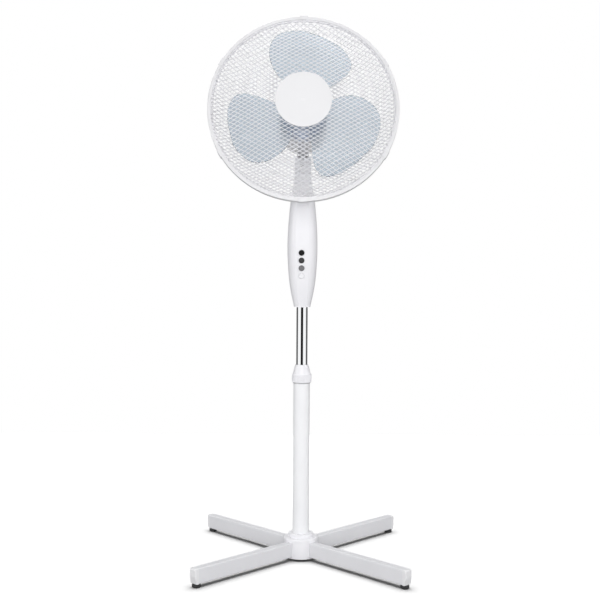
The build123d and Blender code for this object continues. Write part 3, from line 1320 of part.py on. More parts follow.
# Trim ring round both rims, with a rib between them and a lip over each
with BuildPart() as trim_ring:
    trim_back = RING_FORWARD - TRIM_LENGTH / 2
    extrude(ring(GUARD_RADIUS - TRIM_WIDTH, GUARD_RADIUS, trim_back), amount=TRIM_LENGTH)
    fillet(trim_ring.edges().filter_by(GeomType.CIRCLE).group_by(SortBy.RADIUS)[-1], TRIM_WIDTH / 3)
    rib_back = RING_FORWARD - TRIM_RIB / 2
    extrude(ring(dome_radius, GUARD_RADIUS - TRIM_WIDTH, rib_back), amount=TRIM_RIB)
    lip_height = rear_rim - GAP - trim_back
    for lip_back in (trim_back, RING_FORWARD + TRIM_LENGTH / 2 - lip_height):
        lip = ring(GUARD_RADIUS - TRIM_WIDTH - TRIM_LIP, GUARD_RADIUS - TRIM_WIDTH, lip_back)
        extrude(lip, amount=lip_height)
write(trim_ring, "trim_ring", motor_place)

# Clips over the trim ring
clip_inner = GUARD_RADIUS + RUN
with BuildPart() as guard_clips:
    clip_front = RING_FORWARD + TRIM_LENGTH / 2 + RUN
    clip_back = RING_FORWARD - TRIM_LENGTH / 2 - RUN
    with BuildSketch(Plane.XY.offset(clip_back - CLIP_WALL)):
        with PolarLocations(clip_inner + CLIP_WALL - CLIP_LIP / 2, CLIP_COUNT, 90):
            Rectangle(CLIP_LIP, CLIP_WIDTH)
        Circle(clip_inner + CLIP_WALL, mode=Mode.INTERSECT)
    extrude(amount=clip_front - clip_back + 2 * CLIP_WALL)
    with BuildSketch(Plane.XY.offset(clip_back)):
        Circle(clip_inner)
    extrude(amount=clip_front - clip_back, mode=Mode.SUBTRACT)
write(guard_clips, "guard_clips", motor_place)

# Ring nut that holds the rear guard on the collar
with BuildPart() as guard_nut:
    nut_seat = rear_centre + NET_THICK
    extrude(ring(COLLAR_THREAD_RADIUS + RUN, NUT_RING_RADIUS, nut_seat), amount=NUT_RING_LENGTH)
    with BuildSketch(Plane.XY.offset(nut_seat)):
        with PolarLocations(NUT_RING_RADIUS, NUT_RING_LUGS):
            Circle(NUT_LUG_RADIUS)
    extrude(amount=NUT_RING_LENGTH)
write(guard_nut, "guard_nut", motor_place)

# Bare round badge on the middle of the front guard
badge_back = front_centre + NET_THICK
with BuildPart() as badge:
    with BuildSketch(Plane.XZ):
        with BuildLine():
            Line((0, badge_back), (BADGE_RADIUS, badge_back))
            Line((BADGE_RADIUS, badge_back), (BADGE_RADIUS, badge_back + BADGE_EDGE))
            TangentArc(
                (0, badge_back + BADGE_EDGE + BADGE_CROWN),
                (BADGE_RADIUS, badge_back + BADGE_EDGE),
                tangent=(1, 0),
            )
            Line((0, badge_back + BADGE_EDGE + BADGE_CROWN), (0, badge_back))
        make_face()
    revolve(axis=Axis.Z)
write(badge, "badge", motor_place)

# Rotor: shaft with its worm, and the core
shaft_back = -WHEEL_BACK - WORM_LENGTH
with BuildPart() as rotor_shaft:
    with BuildSketch(Plane.XY.offset(shaft_back)):
        Circle(SHAFT_DIA / 2)
    extrude(amount=IMPELLER_HUB_FRONT + SPINNER_LENGTH / 2 - shaft_back)
    with BuildSketch(Plane.XY.offset(-WHEEL_BACK - WORM_LENGTH / 2)):
        Circle(WORM_RADIUS)
    extrude(amount=WORM_LENGTH)
    with Locations((0, 0, IMPELLER_HUB_BACK)):
        Cylinder(
            DRIVE_PIN_DIA / 2 + RUN,
            WORM_RADIUS + SHAFT_DIA,
            rotation=(0, 90, 0),
            mode=Mode.SUBTRACT,
        )
write(rotor_shaft, "rotor_shaft", motor_place)

with BuildPart() as rotor_core:
    core_ring = ring(SHAFT_DIA / 2 + RUN, STATOR_BORE - AIR_GAP, STATOR_BACK)
    extrude(core_ring, amount=STATOR_FRONT - STATOR_BACK)
write(rotor_core, "rotor_core", motor_place)

with BuildPart() as drive_pin:
    with Locations((0, 0, IMPELLER_HUB_BACK)):
        Cylinder(DRIVE_PIN_DIA / 2, DRIVE_PIN_LENGTH, rotation=(0, 90, 0))
write(drive_pin, "drive_pin", motor_place)


def blade_pitch(share):
    first = BLADE_OUTLINE[0][0]
    last = BLADE_OUTLINE[-1][0]
    turn = BLADE_ROOT_PITCH + (BLADE_TIP_PITCH - BLADE_ROOT_PITCH) * (share - first) / (last - first)
    return tan(radians(turn))


# One blade, upright: thin cambered sections that twist from root to tip
with BuildPart() as blade:
    for share, trailing, leading in BLADE_OUTLINE:
        slope = blade_pitch(share)
        back = (trailing * BLADE_TIP, BLADE_PLANE - slope * trailing * BLADE_TIP)
        front = (leading * BLADE_TIP, BLADE_PLANE - slope * leading * BLADE_TIP)
        camber = BLADE_CAMBER * (leading - trailing)
        middle = ((back[0] + front[0]) / 2, (back[1] + front[1]) / 2 - camber)
        with BuildSketch(Plane.XZ.offset(-share * BLADE_TIP)):
            with BuildLine():
                ThreePointArc(back, middle, front)
                Line(front, (front[0], front[1] + BLADE_THICK))
                ThreePointArc(
                    (front[0], front[1] + BLADE_THICK),
                    (middle[0], middle[1] + BLADE_THICK),
                    (back[0], back[1] + BLADE_THICK),
                )
                Line((back[0], back[1] + BLADE_THICK), back)
            make_face()
    loft(ruled=True)

# Impeller: three blades on a cup hub, with a boss slotted for the drive pin
boss_back = IMPELLER_HUB_BACK - DRIVE_PIN_DIA
with BuildPart() as impeller:
    for index in range(BLADE_COUNT):
        add(blade.part.rotate(Axis.Z, BLADE_TURN + 360 / BLADE_COUNT * index))
    with BuildSketch(Plane.XY.offset(IMPELLER_HUB_BACK)):
        Circle(IMPELLER_HUB_RADIUS)
    extrude(amount=IMPELLER_HUB_FRONT - IMPELLER_HUB_BACK)
    with BuildSketch(Plane.XY.offset(IMPELLER_HUB_BACK)):
        Circle(IMPELLER_HUB_RADIUS - IMPELLER_HUB_WALL)
    extrude(amount=IMPELLER_HUB_FRONT - IMPELLER_HUB_BACK - IMPELLER_HUB_WALL, mode=Mode.SUBTRACT)
    with BuildSketch(Plane.XY.offset(boss_back)):
        Circle(IMPELLER_BOSS_RADIUS)
    extrude(amount=IMPELLER_HUB_FRONT - boss_back)
    with BuildSketch(Plane.XY.offset(boss_back)):
        Circle(SHAFT_DIA / 2 + RUN)
    extrude(amount=IMPELLER_HUB_FRONT - boss_back, mode=Mode.SUBTRACT)
    with BuildSketch(Plane.XY.offset(boss_back)):
        Rectangle(DRIVE_PIN_LENGTH + 2 * GAP, DRIVE_PIN_DIA + 2 * RUN)
    extrude(amount=1.5 * DRIVE_PIN_DIA + RUN, mode=Mode.SUBTRACT)
write(impeller, "impeller", motor_place)

# Spinner nut on the end of the shaft
with BuildPart() as spinner_nut:
    with BuildSketch(Plane.XY.offset(IMPELLER_HUB_FRONT)):
        Circle(SPINNER_RADIUS)
    extrude(amount=SPINNER_LENGTH, taper=10)
    fillet(spinner_nut.edges().group_by(Axis.Z)[-1], LEG_CORNER)
    with BuildSketch(Plane.XY.offset(IMPELLER_HUB_FRONT)):
        Circle(SHAFT_DIA / 2 + RUN)
    extrude(amount=SPINNER_LENGTH / 2 + GAP, mode=Mode.SUBTRACT)
write(spinner_nut, "spinner_nut", motor_place)
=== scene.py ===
"""Looks of a white pedestal fan: fine guard nets, clear blades, finishes, studio light and camera."""

import json
import math

import bpy
import numpy as np
from mathutils import Matrix, Vector


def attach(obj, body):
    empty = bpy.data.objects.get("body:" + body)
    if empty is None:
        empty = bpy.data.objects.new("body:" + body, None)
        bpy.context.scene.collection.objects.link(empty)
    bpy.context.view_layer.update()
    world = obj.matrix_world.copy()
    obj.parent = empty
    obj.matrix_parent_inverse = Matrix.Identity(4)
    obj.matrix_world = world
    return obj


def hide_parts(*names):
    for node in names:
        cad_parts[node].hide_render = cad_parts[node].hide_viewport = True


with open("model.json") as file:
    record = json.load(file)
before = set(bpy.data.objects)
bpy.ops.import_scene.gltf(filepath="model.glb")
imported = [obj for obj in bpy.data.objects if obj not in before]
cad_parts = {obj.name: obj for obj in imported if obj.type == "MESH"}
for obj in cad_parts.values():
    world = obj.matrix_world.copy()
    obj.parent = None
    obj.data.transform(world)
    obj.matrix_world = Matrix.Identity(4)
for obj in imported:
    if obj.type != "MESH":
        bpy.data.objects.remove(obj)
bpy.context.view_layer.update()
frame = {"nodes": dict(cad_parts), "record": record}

# Places that the solids share, in metres: a spun piece is drawn about the motor axis, with
# u forwards from the swivel axis.
TILT_Z = 0.9254
HEAD_TILT = math.radians(12.3)
AXIS_RISE = 0.097
RIM_OUTER = 0.2099
RIM_INNER = 0.2049
DOME_RADIUS = 0.2069
FRONT_CENTRE_RADIUS = 0.059
REAR_CENTRE_RADIUS = 0.047
FRONT_PLATE_HOLE = 0.040
REAR_PLATE_HOLE = 0.0287
NET_THICK = 0.002
REAR_RIM_U = 0.0919
FRONT_RIM_U = 0.0981
REAR_CENTRE_U = 0.0299
FRONT_CENTRE_U = 0.1531
DOME_MID_SHARE = 0.62
DOME_MID_RISE = 0.76

# Guard net: flat diamonds whose strands lie at thirty degrees
NET_PITCH = 0.016
NET_ANGLE = math.radians(30)
FRONT_STRAND_HALF_WIDTH = 0.00072
REAR_STRAND_HALF_WIDTH = 0.00105
STRAND_HALF_DEPTH = 0.00070
STRAND_CROSSING = 0.6  # share of the half depth by which the two directions lie off the dome
STRAND_SIDES = 6
STRAND_STEPS = 40

# Rims and centre plates
RIM_ROUNDING = 0.0008
PLATE_ROUNDING = 0.0006
CORNER_STEPS = 4
RIM_SEGMENTS = 192
PLATE_SEGMENTS = 128

# Blades: the outline's edges are shares of the tip radius, at places along the blade
BLADE_TIP = 0.177
BLADE_PLANE = 0.099
BLADE_THICK = 0.0022
BLADE_CAMBER = 0.005
BLADE_ROOT_PITCH = 25.0
BLADE_TIP_PITCH = 11.0
BLADE_TURNS = (-9.7, 110.3, 230.3)
BLADE_ALONG = np.array([0.11, 0.34, 0.48, 0.62, 0.74, 0.84, 0.925, 0.975, 1.0])
BLADE_TRAILING = np.array([-0.065, -0.42, -0.51, -0.545, -0.535, -0.49, -0.385, -0.26, -0.155])
BLADE_LEADING = np.array([0.06, 0.25, 0.39, 0.485, 0.495, 0.415, 0.27, 0.07, -0.145])
BLADE_END = 0.9995  # place of the last row, just short of the point of the tip
BLADE_FLATNESS = 0.4  # power of the sine that gives the thickness: less is flatter
BLADE_THINNING = 12.0  # share of the full thickness for each tip radius of chord
BLADE_THINNEST = 0.2
BLADE_ROWS = 64
BLADE_LOOPS = 56

# Impeller hub: a boss on the shaft, and a cup that carries the blades
BOSS_BORE = 0.00405
BOSS_RADIUS = 0.009
BOSS_BACK = 0.0781
HUB_FRONT = 0.115
BOSS_ROUNDING = 0.0005
BOSS_SEGMENTS = 64
CUP_PROFILE = np.array(
    [
        (BOSS_RADIUS, 0.1120), (0.0262, 0.1120), (0.0270, 0.1112), (0.0270, 0.0814),
        (0.0275, 0.0810), (0.0295, 0.0810), (0.0300, 0.0816), (0.0300, 0.1126),
        (0.0293, 0.1142), (0.0276, HUB_FRONT), (BOSS_RADIUS, HUB_FRONT),
    ]
)
CUP_SEGMENTS = 96


def head_points(right, rise, forward):
    """Points about the motor axis set in the fan's frame: lift to the axis, then tilt nose-up."""
    back = -forward
    lift = AXIS_RISE + rise
    y = back * math.cos(HEAD_TILT) + lift * math.sin(HEAD_TILT)
    z = TILT_Z - back * math.sin(HEAD_TILT) + lift * math.cos(HEAD_TILT)
    return np.stack([right + 0 * y, y, z], axis=-1)


def piece_from(name, points, faces, body, material):
    """A smooth piece at the origin from points and faces, riding on a body with its finish."""
    mesh = bpy.data.meshes.new(name)
    mesh.from_pydata(points.reshape(-1, 3).tolist(), [], faces)
    mesh.validate()
    mesh.polygons.foreach_set("use_smooth", np.full(len(mesh.polygons), True))
    mesh.materials.append(material)
    obj = bpy.data.objects.new(name, mesh)
    bpy.context.scene.collection.objects.link(obj)
    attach(obj, body)
    return obj


def loop_faces(rows, loops, closed_rows, flip=False):
    """Four-sided faces of a grid whose loops close on themselves; the rows close where asked."""
    i = np.arange(rows if closed_rows else rows - 1)[:, None]
    j = np.arange(loops)[None, :]
    after = (i + 1) % rows
    beside = (j + 1) % loops
    corners = (i * loops + j, i * loops + beside, after * loops + beside, after * loops + j)
    quads = np.stack(corners, -1).reshape(-1, 4)
    return (quads[:, ::-1] if flip else quads).tolist()


def spun(name, profile, segments, body, material):
    """A closed profile of (radius, forward) points turned once about the motor axis."""
    turn = np.linspace(0, 2 * np.pi, segments, endpoint=False)[:, None]
    radius = profile[None, :, 0]
    forward = profile[None, :, 1] + 0 * turn
    points = head_points(radius * np.cos(turn), radius * np.sin(turn), forward)
    faces = loop_faces(segments, len(profile), True)
    return piece_from(name, points, faces, body, material)


def rounded_bar(inner, outer, back, front, rounding):
    """Section of a bar between two radii and two faces: four quarter circles joined by flats."""
    quarter = np.linspace(0, np.pi / 2, CORNER_STEPS)
    low, high = inner + rounding, outer - rounding
    rear, fore = back + rounding, front - rounding
    arcs = []
    for k, (r, u) in enumerate(((high, fore), (low, fore), (low, rear), (high, rear))):
        angle = quarter + k * np.pi / 2
        arcs.append(np.stack([r + rounding * np.cos(angle), u + rounding * np.sin(angle)], -1))
    return np.concatenate(arcs)


def circle_through(first, middle, last):
    """Centre and radius of the circle through three points, from the two chord bisectors."""
    (ax, ay), (bx, by), (cx, cy) = first, middle, last
    d = 2 * (ax * (by - cy) + bx * (cy - ay) + cx * (ay - by))
    a2, b2, c2 = ax * ax + ay * ay, bx * bx + by * by, cx * cx + cy * cy
    x = (a2 * (by - cy) + b2 * (cy - ay) + c2 * (ay - by)) / d
    y = (a2 * (cx - bx) + b2 * (ax - cx) + c2 * (bx - ax)) / d
    return x, y, math.hypot(ax - x, ay - y)


def dome(radius, inner, centre_u, rim_u):
    """Height of a guard's dome at a radius: the arc through its centre edge, middle and rim."""
    mid_r = inner + (DOME_RADIUS - inner) * DOME_MID_SHARE
    mid_u = rim_u + (centre_u - rim_u) * DOME_MID_RISE
    x, y, size = circle_through((inner, centre_u), (mid_r, mid_u), (DOME_RADIUS, rim_u))
    side = 1.0 if centre_u > rim_u else -1.0
    return y + side * np.sqrt(np.maximum(size**2 - (radius - x) ** 2, 0))


def guard_net(name, centre, centre_u, rim_u, half_width, node, material):
    """Diamond net on a dome. Each strand is a straight line in plan at plus or minus thirty degrees,
    cut by the rim and by the centre plate, lifted onto the dome and given an oval section that
    stands across the strand and along the dome's normal; the two directions lie just above and
    below each other."""
    spacing = NET_PITCH * math.sin(NET_ANGLE)
    count = int(RIM_INNER / spacing)
    offsets = spacing * np.arange(-count, count + 1)
    outer = np.sqrt((RIM_INNER + NET_THICK) ** 2 - offsets**2)
    inner_sq = (centre - NET_THICK) ** 2 - offsets**2
    split = inner_sq > 0
    inner = np.sqrt(np.where(split, inner_sq, 0))
    first = np.concatenate([-outer[split], inner[split], -outer[~split]])
    last = np.concatenate([-inner[split], outer[split], outer[~split]])
    across = np.concatenate([offsets[split], offsets[split], offsets[~split]])
    along = np.linspace(0, 1, STRAND_STEPS)
    s = first[:, None] + (last - first)[:, None] * along[None, :]
    turn = np.linspace(0, 2 * np.pi, STRAND_SIDES, endpoint=False)
    side = half_width * np.cos(turn)[None, None, :]
    lift = STRAND_HALF_DEPTH * np.sin(turn)[None, None, :]
    strand = np.array(loop_faces(STRAND_STEPS, STRAND_SIDES, False))
    cap = np.arange(STRAND_SIDES)
    step = STRAND_STEPS * STRAND_SIDES
    points = []
    faces = []
    start = 0
    for sign in (1, -1):
        way = np.array([math.cos(NET_ANGLE), sign * math.sin(NET_ANGLE)])
        square = np.array([-way[1], way[0]])
        x = s * way[0] + across[:, None] * square[0]
        y = s * way[1] + across[:, None] * square[1]
        u = dome(np.hypot(x, y), centre, centre_u, rim_u) + NET_THICK / 2
        u = u + sign * STRAND_HALF_DEPTH * STRAND_CROSSING
        slope = np.gradient(u, axis=1) / np.gradient(s, axis=1)
        length = np.sqrt(1 + slope**2)
        back_x = -slope / length * way[0]
        back_y = -slope / length * way[1]
        px = x[..., None] + side * square[0] + lift * back_x[..., None]
        py = y[..., None] + side * square[1] + lift * back_y[..., None]
        pu = u[..., None] + lift / length[..., None]
        points.append(head_points(px, py, pu).reshape(-1, 3))
        starts = start + step * np.arange(len(first))
        faces += (strand[None] + starts[:, None, None]).reshape(-1, 4).tolist()
        faces += (cap[::-1][None] + starts[:, None]).tolist()
        faces += (cap[None] + starts[:, None] + step - STRAND_SIDES).tolist()
        start += step * len(first)
    net = piece_from(name, np.concatenate(points), faces, "head", material)
    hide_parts(node)


def smooth_table(at, places, values):
    """Cubic reading of a table: each span is a Hermite curve with slopes from its neighbours."""
    slopes = np.gradient(values, places)
    span = np.clip(np.searchsorted(places, at) - 1, 0, len(places) - 2)
    width = places[span + 1] - places[span]
    t = (at - places[span]) / width
    low, high = values[span], values[span + 1]
    return (
        low * (2 * t**3 - 3 * t**2 + 1)
        + high * (3 * t**2 - 2 * t**3)
        + width * (slopes[span] * (t**3 - 2 * t**2 + t) + slopes[span + 1] * (t**3 - t**2))
    )


def fan_blade(name, turn_degrees, material):
    """One blade. Along it, the chord runs between the trailing and leading edges of its outline; round
    the section, an angle gives the place across the chord by its cosine and the thickness by a
    flattened sine; the chord is pitched, less towards the tip, and bowed backwards."""
    root, tip = BLADE_ALONG[0], BLADE_ALONG[-1]
    share = root + (tip - root) * np.sin(np.linspace(0, np.pi / 2, BLADE_ROWS))
    share[-1] = BLADE_END
    trailing = smooth_table(share, BLADE_ALONG, BLADE_TRAILING)[:, None]
    leading = smooth_table(share, BLADE_ALONG, BLADE_LEADING)[:, None]
    chord = leading - trailing
    angle = np.linspace(0, 2 * np.pi, BLADE_LOOPS, endpoint=False)[None, :]
    place = np.cos(angle)
    t = ((leading + trailing) / 2 + chord / 2 * place) * BLADE_TIP
    part = (share - root) / (tip - root)
    pitch = np.radians(BLADE_ROOT_PITCH + (BLADE_TIP_PITCH - BLADE_ROOT_PITCH) * part)[:, None]
    bow = BLADE_CAMBER * chord * (1 - place**2)
    thick = BLADE_THICK / 2 * np.sign(np.sin(angle)) * np.abs(np.sin(angle)) ** BLADE_FLATNESS
    thick = thick * np.clip(chord * BLADE_THINNING, BLADE_THINNEST, 1)
    u = BLADE_PLANE + BLADE_THICK / 2 - np.tan(pitch) * t - bow + thick
    a = (share * BLADE_TIP)[:, None] + 0 * t
    turn = math.radians(turn_degrees)
    x = t * math.cos(turn) - a * math.sin(turn)
    y = t * math.sin(turn) + a * math.cos(turn)
    faces = loop_faces(BLADE_ROWS, BLADE_LOOPS, False, flip=True)
    faces.append(list(range(BLADE_LOOPS)))
    faces.append(list(range(BLADE_ROWS * BLADE_LOOPS - 1, (BLADE_ROWS - 1) * BLADE_LOOPS - 1, -1)))
    piece_from(name, head_points(x, y, u), faces, "rotor", material)


# Finishes: two shared groups, read at Object coordinates
NOISE_LOW, NOISE_HIGH = 0.3, 0.7  # most of a noise lies between these
CLOUD_DETAIL = 4.0
GRAIN_DETAIL = 3.0
LINE_DETAIL = 2.0
GRAIN_IN_GLOSS = 0.4
CLOUD_IN_GLOSS = 0.6
LINE_STRETCH = (1.0, 1.0, 0.02)
LINE_SCALE = 400.0
SKIN_RELIEF = 0.0004
LINE_RELIEF = 0.0002


def node_group(name, inputs, outputs):
    """An empty shader group with named sockets, and its input and output nodes."""
    group = bpy.data.node_groups.new(name, "ShaderNodeTree")
    for way, sockets in (("INPUT", inputs), ("OUTPUT", outputs)):
        for label, kind in sockets:
            group.interface.new_socket(label, in_out=way, socket_type=kind)
    return group, group.nodes.new("NodeGroupInput"), group.nodes.new("NodeGroupOutput")


def noise(nodes, links, coordinates, scale, detail):
    """Noise read at coordinates, with its scale from another node's output."""
    texture = nodes.new("ShaderNodeTexNoise")
    texture.inputs["Detail"].default_value = detail
    links.new(coordinates, texture.inputs["Vector"])
    links.new(scale, texture.inputs["Scale"])
    return texture.outputs["Fac"]


def spread(nodes, links, value, low=None, high=None):
    """A noise value stretched from 0 to 1, or between two other nodes' outputs."""
    stretch = nodes.new("ShaderNodeMapRange")
    stretch.inputs["From Min"].default_value = NOISE_LOW
    stretch.inputs["From Max"].default_value = NOISE_HIGH
    links.new(value, stretch.inputs["Value"])
    if low is not None:
        links.new(low, stretch.inputs["To Min"])
        links.new(high, stretch.inputs["To Max"])
    return stretch.outputs["Result"]


def make_skin_group():
    """Skin of a made surface: cloudy colour between two tones, cloudy roughness and a fine grain."""
    group, given, out = node_group(
        "made_skin",
        [
            ("Light Tone", "NodeSocketColor"),
            ("Dark Tone", "NodeSocketColor"),
            ("Cloud Scale", "NodeSocketFloat"),
            ("Grain Scale", "NodeSocketFloat"),
            ("Smooth", "NodeSocketFloat"),
            ("Rough", "NodeSocketFloat"),
        ],
        [
            ("Colour", "NodeSocketColor"),
            ("Roughness", "NodeSocketFloat"),
            ("Height", "NodeSocketFloat"),
        ],
    )
    nodes, links = group.nodes, group.links
    place = nodes.new("ShaderNodeTexCoord").outputs["Object"]
    cloud = noise(nodes, links, place, given.outputs["Cloud Scale"], CLOUD_DETAIL)
    grain = noise(nodes, links, place, given.outputs["Grain Scale"], GRAIN_DETAIL)
    tone = nodes.new("ShaderNodeMix")
    tone.data_type = "RGBA"
    links.new(spread(nodes, links, cloud), tone.inputs["Factor"])
    links.new(given.outputs["Dark Tone"], tone.inputs["A"])
    links.new(given.outputs["Light Tone"], tone.inputs["B"])
    links.new(tone.outputs["Result"], out.inputs["Colour"])
    both = nodes.new("ShaderNodeMath")
    both.operation = "MULTIPLY_ADD"
    both.inputs[1].default_value = GRAIN_IN_GLOSS
    links.new(grain, both.inputs[0])
    shade = nodes.new("ShaderNodeMath")
    shade.operation = "MULTIPLY"
    shade.inputs[1].default_value = CLOUD_IN_GLOSS
    links.new(cloud, shade.inputs[0])
    links.new(shade.outputs["Value"], both.inputs[2])
    rough = spread(nodes, links, both.outputs["Value"], given.outputs["Smooth"], given.outputs["Rough"])
    links.new(rough, out.inputs["Roughness"])
    links.new(grain, out.inputs["Height"])
    return group


def make_drawn_group():
    """Lines left by drawing or turning: noise stretched along Z, for roughness and a fine relief."""
    group, given, out = node_group(
        "drawn_lines",
        [
            ("Line Scale", "NodeSocketFloat"),
            ("Smooth", "NodeSocketFloat"),
            ("Rough", "NodeSocketFloat"),
        ],
        [("Roughness", "NodeSocketFloat"), ("Height", "NodeSocketFloat")],
    )
    nodes, links = group.nodes, group.links
    stretch = nodes.new("ShaderNodeMapping")
    stretch.inputs["Scale"].default_value = LINE_STRETCH
    links.new(nodes.new("ShaderNodeTexCoord").outputs["Object"], stretch.inputs["Vector"])
    line = noise(nodes, links, stretch.outputs["Vector"], given.outputs["Line Scale"], LINE_DETAIL)
    rough = spread(nodes, links, line, given.outputs["Smooth"], given.outputs["Rough"])
    links.new(rough, out.inputs["Roughness"])
    links.new(line, out.inputs["Height"])
    return group


skin_group = make_skin_group()
drawn_group = make_drawn_group()


def group_material(name, group, settings, bump, distance):
    """A material whose roughness and relief come from a shared group with its settings; with it, its
    surface shader and its group node."""
    material = bpy.data.materials.new(name)
    material.use_nodes = True
    nodes, links = material.node_tree.nodes, material.node_tree.links
    shader = nodes["Principled BSDF"]
    shared = nodes.new("ShaderNodeGroup")
    shared.node_tree = group
    for label, value in settings.items():
        shared.inputs[label].default_value = value
    links.new(shared.outputs["Roughness"], shader.inputs["Roughness"])
    relief = nodes.new("ShaderNodeBump")
    relief.inputs["Strength"].default_value = bump
    relief.inputs["Distance"].default_value = distance
    links.new(shared.outputs["Height"], relief.inputs["Height"])
    links.new(relief.outputs["Normal"], shader.inputs["Normal"])
    return material, shader, shared


def skin_material(
    name, light, dark, gloss, grain=1500.0, bump=0.06, cloud=12.0, metal=0.0, shine=0.5
):
    """A finish on the shared skin group, with its own tones, gloss and grain, and its shader."""
    settings = {
        "Light Tone": (*light, 1),
        "Dark Tone": (*dark, 1),
        "Cloud Scale": cloud,
        "Grain Scale": grain,
        "Smooth": gloss[0],
        "Rough": gloss[1],
    }
    material, shader, skin = group_material(name, skin_group, settings, bump, SKIN_RELIEF)
    material.node_tree.links.new(skin.outputs["Colour"], shader.inputs["Base Color"])
    shader.inputs["Metallic"].default_value = metal
    shader.inputs["Specular IOR Level"].default_value = shine
    return material, shader


def drawn_material(name, colour, gloss, bump):
    """A bare metal finish on the shared drawn-lines group."""
    settings = {"Line Scale": LINE_SCALE, "Smooth": gloss[0], "Rough": gloss[1]}
    material, shader, _ = group_material(name, drawn_group, settings, bump, LINE_RELIEF)
    shader.inputs["Base Color"].default_value = (*colour, 1)
    shader.inputs["Metallic"].default_value = 1.0
    return material


def clear_blade_material(transmission, ior):
    """Tinted clear plastic: a pale blue body that lets most of the light through."""
    material, shader = skin_material(
        "clear_blue_blade", (0.71, 0.785, 0.855), (0.695, 0.77, 0.845), (0.20, 0.28), bump=0.01
    )
    shader.inputs["Transmission Weight"].default_value = transmission
    shader.inputs["IOR"].default_value = ior
    return material


# Gloss: the smoothest and the roughest place of a finish
MOULDED = (0.24, 0.36)
POWDERED = (0.30, 0.44)
BUTTON = (0.25, 0.4)
SATIN = {"shine": 0.3}
POWDER = {"grain": 900.0, "bump": 0.12}

# Finishes by slot, then two darker copies with painted shade that stand in for a slot: name, light
# tone, dark tone, gloss, settings
SKINS = {
    "white_plastic": ("white_moulding", (0.815, 0.812, 0.838), (0.79, 0.788, 0.818), MOULDED, SATIN),
    "head_white": ("head_moulding", (0.86, 0.86, 0.875), (0.84, 0.84, 0.855), MOULDED, {}),
    # Painted shade: the motor cover, rear centre plate and guard nut are white mouldings painted dark
    # grey-blue, for the shade behind the blades tinted by the blue blades.
    "motor_grey": ("motor_grey", (0.57, 0.63, 0.74), (0.54, 0.60, 0.71), (0.35, 0.5), {}),
    # Painted shade: the trim ring, guard clips and leg caps are white mouldings painted greyer than the
    # housing for the shade they lie in.
    "ring_white": ("ring_moulding_painted_shade", (0.74, 0.74, 0.755), (0.72, 0.72, 0.735), MOULDED, SATIN),
    # Painted shade: the badge is painted greyer than the housing's white to take back the extra light
    # its upturned face catches.
    "badge_white": (
        "badge_moulding_painted_shade", (0.765, 0.765, 0.78), (0.755, 0.755, 0.77), (0.5, 0.62), SATIN
    ),
    # Painted shade: the legs are painted greyer than the tube's white paint for the shade on their
    # sides.
    "leg_paint": ("leg_paint_painted_shade", (0.70, 0.70, 0.725), (0.67, 0.67, 0.695), (0.32, 0.46), POWDER),
    "white_paint": (
        "white_powder_paint", (0.85, 0.855, 0.87), (0.82, 0.825, 0.845), POWDERED, POWDER
    ),
    "net_paint": ("net_paint", (0.86, 0.855, 0.88), (0.84, 0.835, 0.86), POWDERED, POWDER),
    "foot_rubber": (
        "dark_rubber", (0.030, 0.030, 0.032), (0.018, 0.018, 0.019), (0.6, 0.85),
        {"grain": 2500.0, "bump": 0.25},
    ),
    "button_black": (
        "black_button", (0.008, 0.008, 0.009), (0.006, 0.006, 0.007), BUTTON, {"shine": 0.1}
    ),
    "button_dark_grey": (
        "dark_grey_button", (0.040, 0.040, 0.042), (0.034, 0.034, 0.036), BUTTON, {"shine": 0.2}
    ),
    "button_grey": (
        "grey_button", (0.17, 0.17, 0.177), (0.145, 0.145, 0.151), BUTTON, {"shine": 0.2}
    ),
    "core_iron": (
        "stacked_iron", (0.22, 0.22, 0.23), (0.13, 0.13, 0.135), (0.45, 0.65),
        {"grain": 700.0, "bump": 0.2, "metal": 0.9},
    ),
    "coil_copper": (
        "lacquered_copper", (0.62, 0.24, 0.09), (0.42, 0.14, 0.05), (0.25, 0.4),
        {"grain": 600.0, "bump": 0.3, "metal": 0.9},
    ),
    "bell_aluminium": (
        "cast_aluminium", (0.62, 0.62, 0.63), (0.50, 0.50, 0.51), (0.4, 0.58),
        {"grain": 800.0, "bump": 0.2, "metal": 0.95},
    ),
    "grey_nylon": ("grey_nylon", (0.42, 0.42, 0.43), (0.36, 0.36, 0.37), (0.4, 0.55), {}),
    # Painted shade: the neck is a white moulding painted grey for the shade that the head casts on it.
    "neck_painted_shade": ("neck_moulding_painted_shade", (0.56, 0.56, 0.575), (0.54, 0.54, 0.555), MOULDED, SATIN),
    # Painted shade: the rear net is the front net's paint made darker for the shade it lies in.
    "rear_net_painted_shade": ("rear_net_painted_shade", (0.83, 0.825, 0.85), (0.81, 0.805, 0.83), POWDERED, POWDER),
}

# Bare metals by slot: name, colour, gloss, strength of the relief
METALS = {
    "tube_chrome": ("polished_chrome", (0.80, 0.81, 0.82), (0.03, 0.09), 0.02),
    "fastener_steel": ("fastener_steel", (0.58, 0.58, 0.59), (0.25, 0.42), 0.05),
    "bearing_brass": ("sintered_brass", (0.62, 0.44, 0.20), (0.3, 0.45), 0.05),
    "spindle_steel": ("turned_steel", (0.52, 0.52, 0.53), (0.22, 0.38), 0.05),
}

finishes = {"blade_clear": clear_blade_material(transmission=0.94, ior=1.46)}
for slot, (name, light, dark, gloss, settings) in SKINS.items():
    finishes[slot] = skin_material(name, light, dark, gloss, **settings)[0]
for slot, (name, colour, gloss, bump) in METALS.items():
    finishes[slot] = drawn_material(name, colour, gloss, bump)

# Pieces in darker finishes than their slot's: painted shade on the guard nut, the neck and the leg caps
shaded = {"guard_nut": "motor_grey", "neck": "neck_painted_shade", "leg_caps": "ring_white"}
for entry in frame["record"]["subparts"]:
    mesh = frame["nodes"][entry["node"]].data
    mesh.materials.clear()
    mesh.materials.append(finishes[shaded.get(entry["node"], entry["material_slot"])])
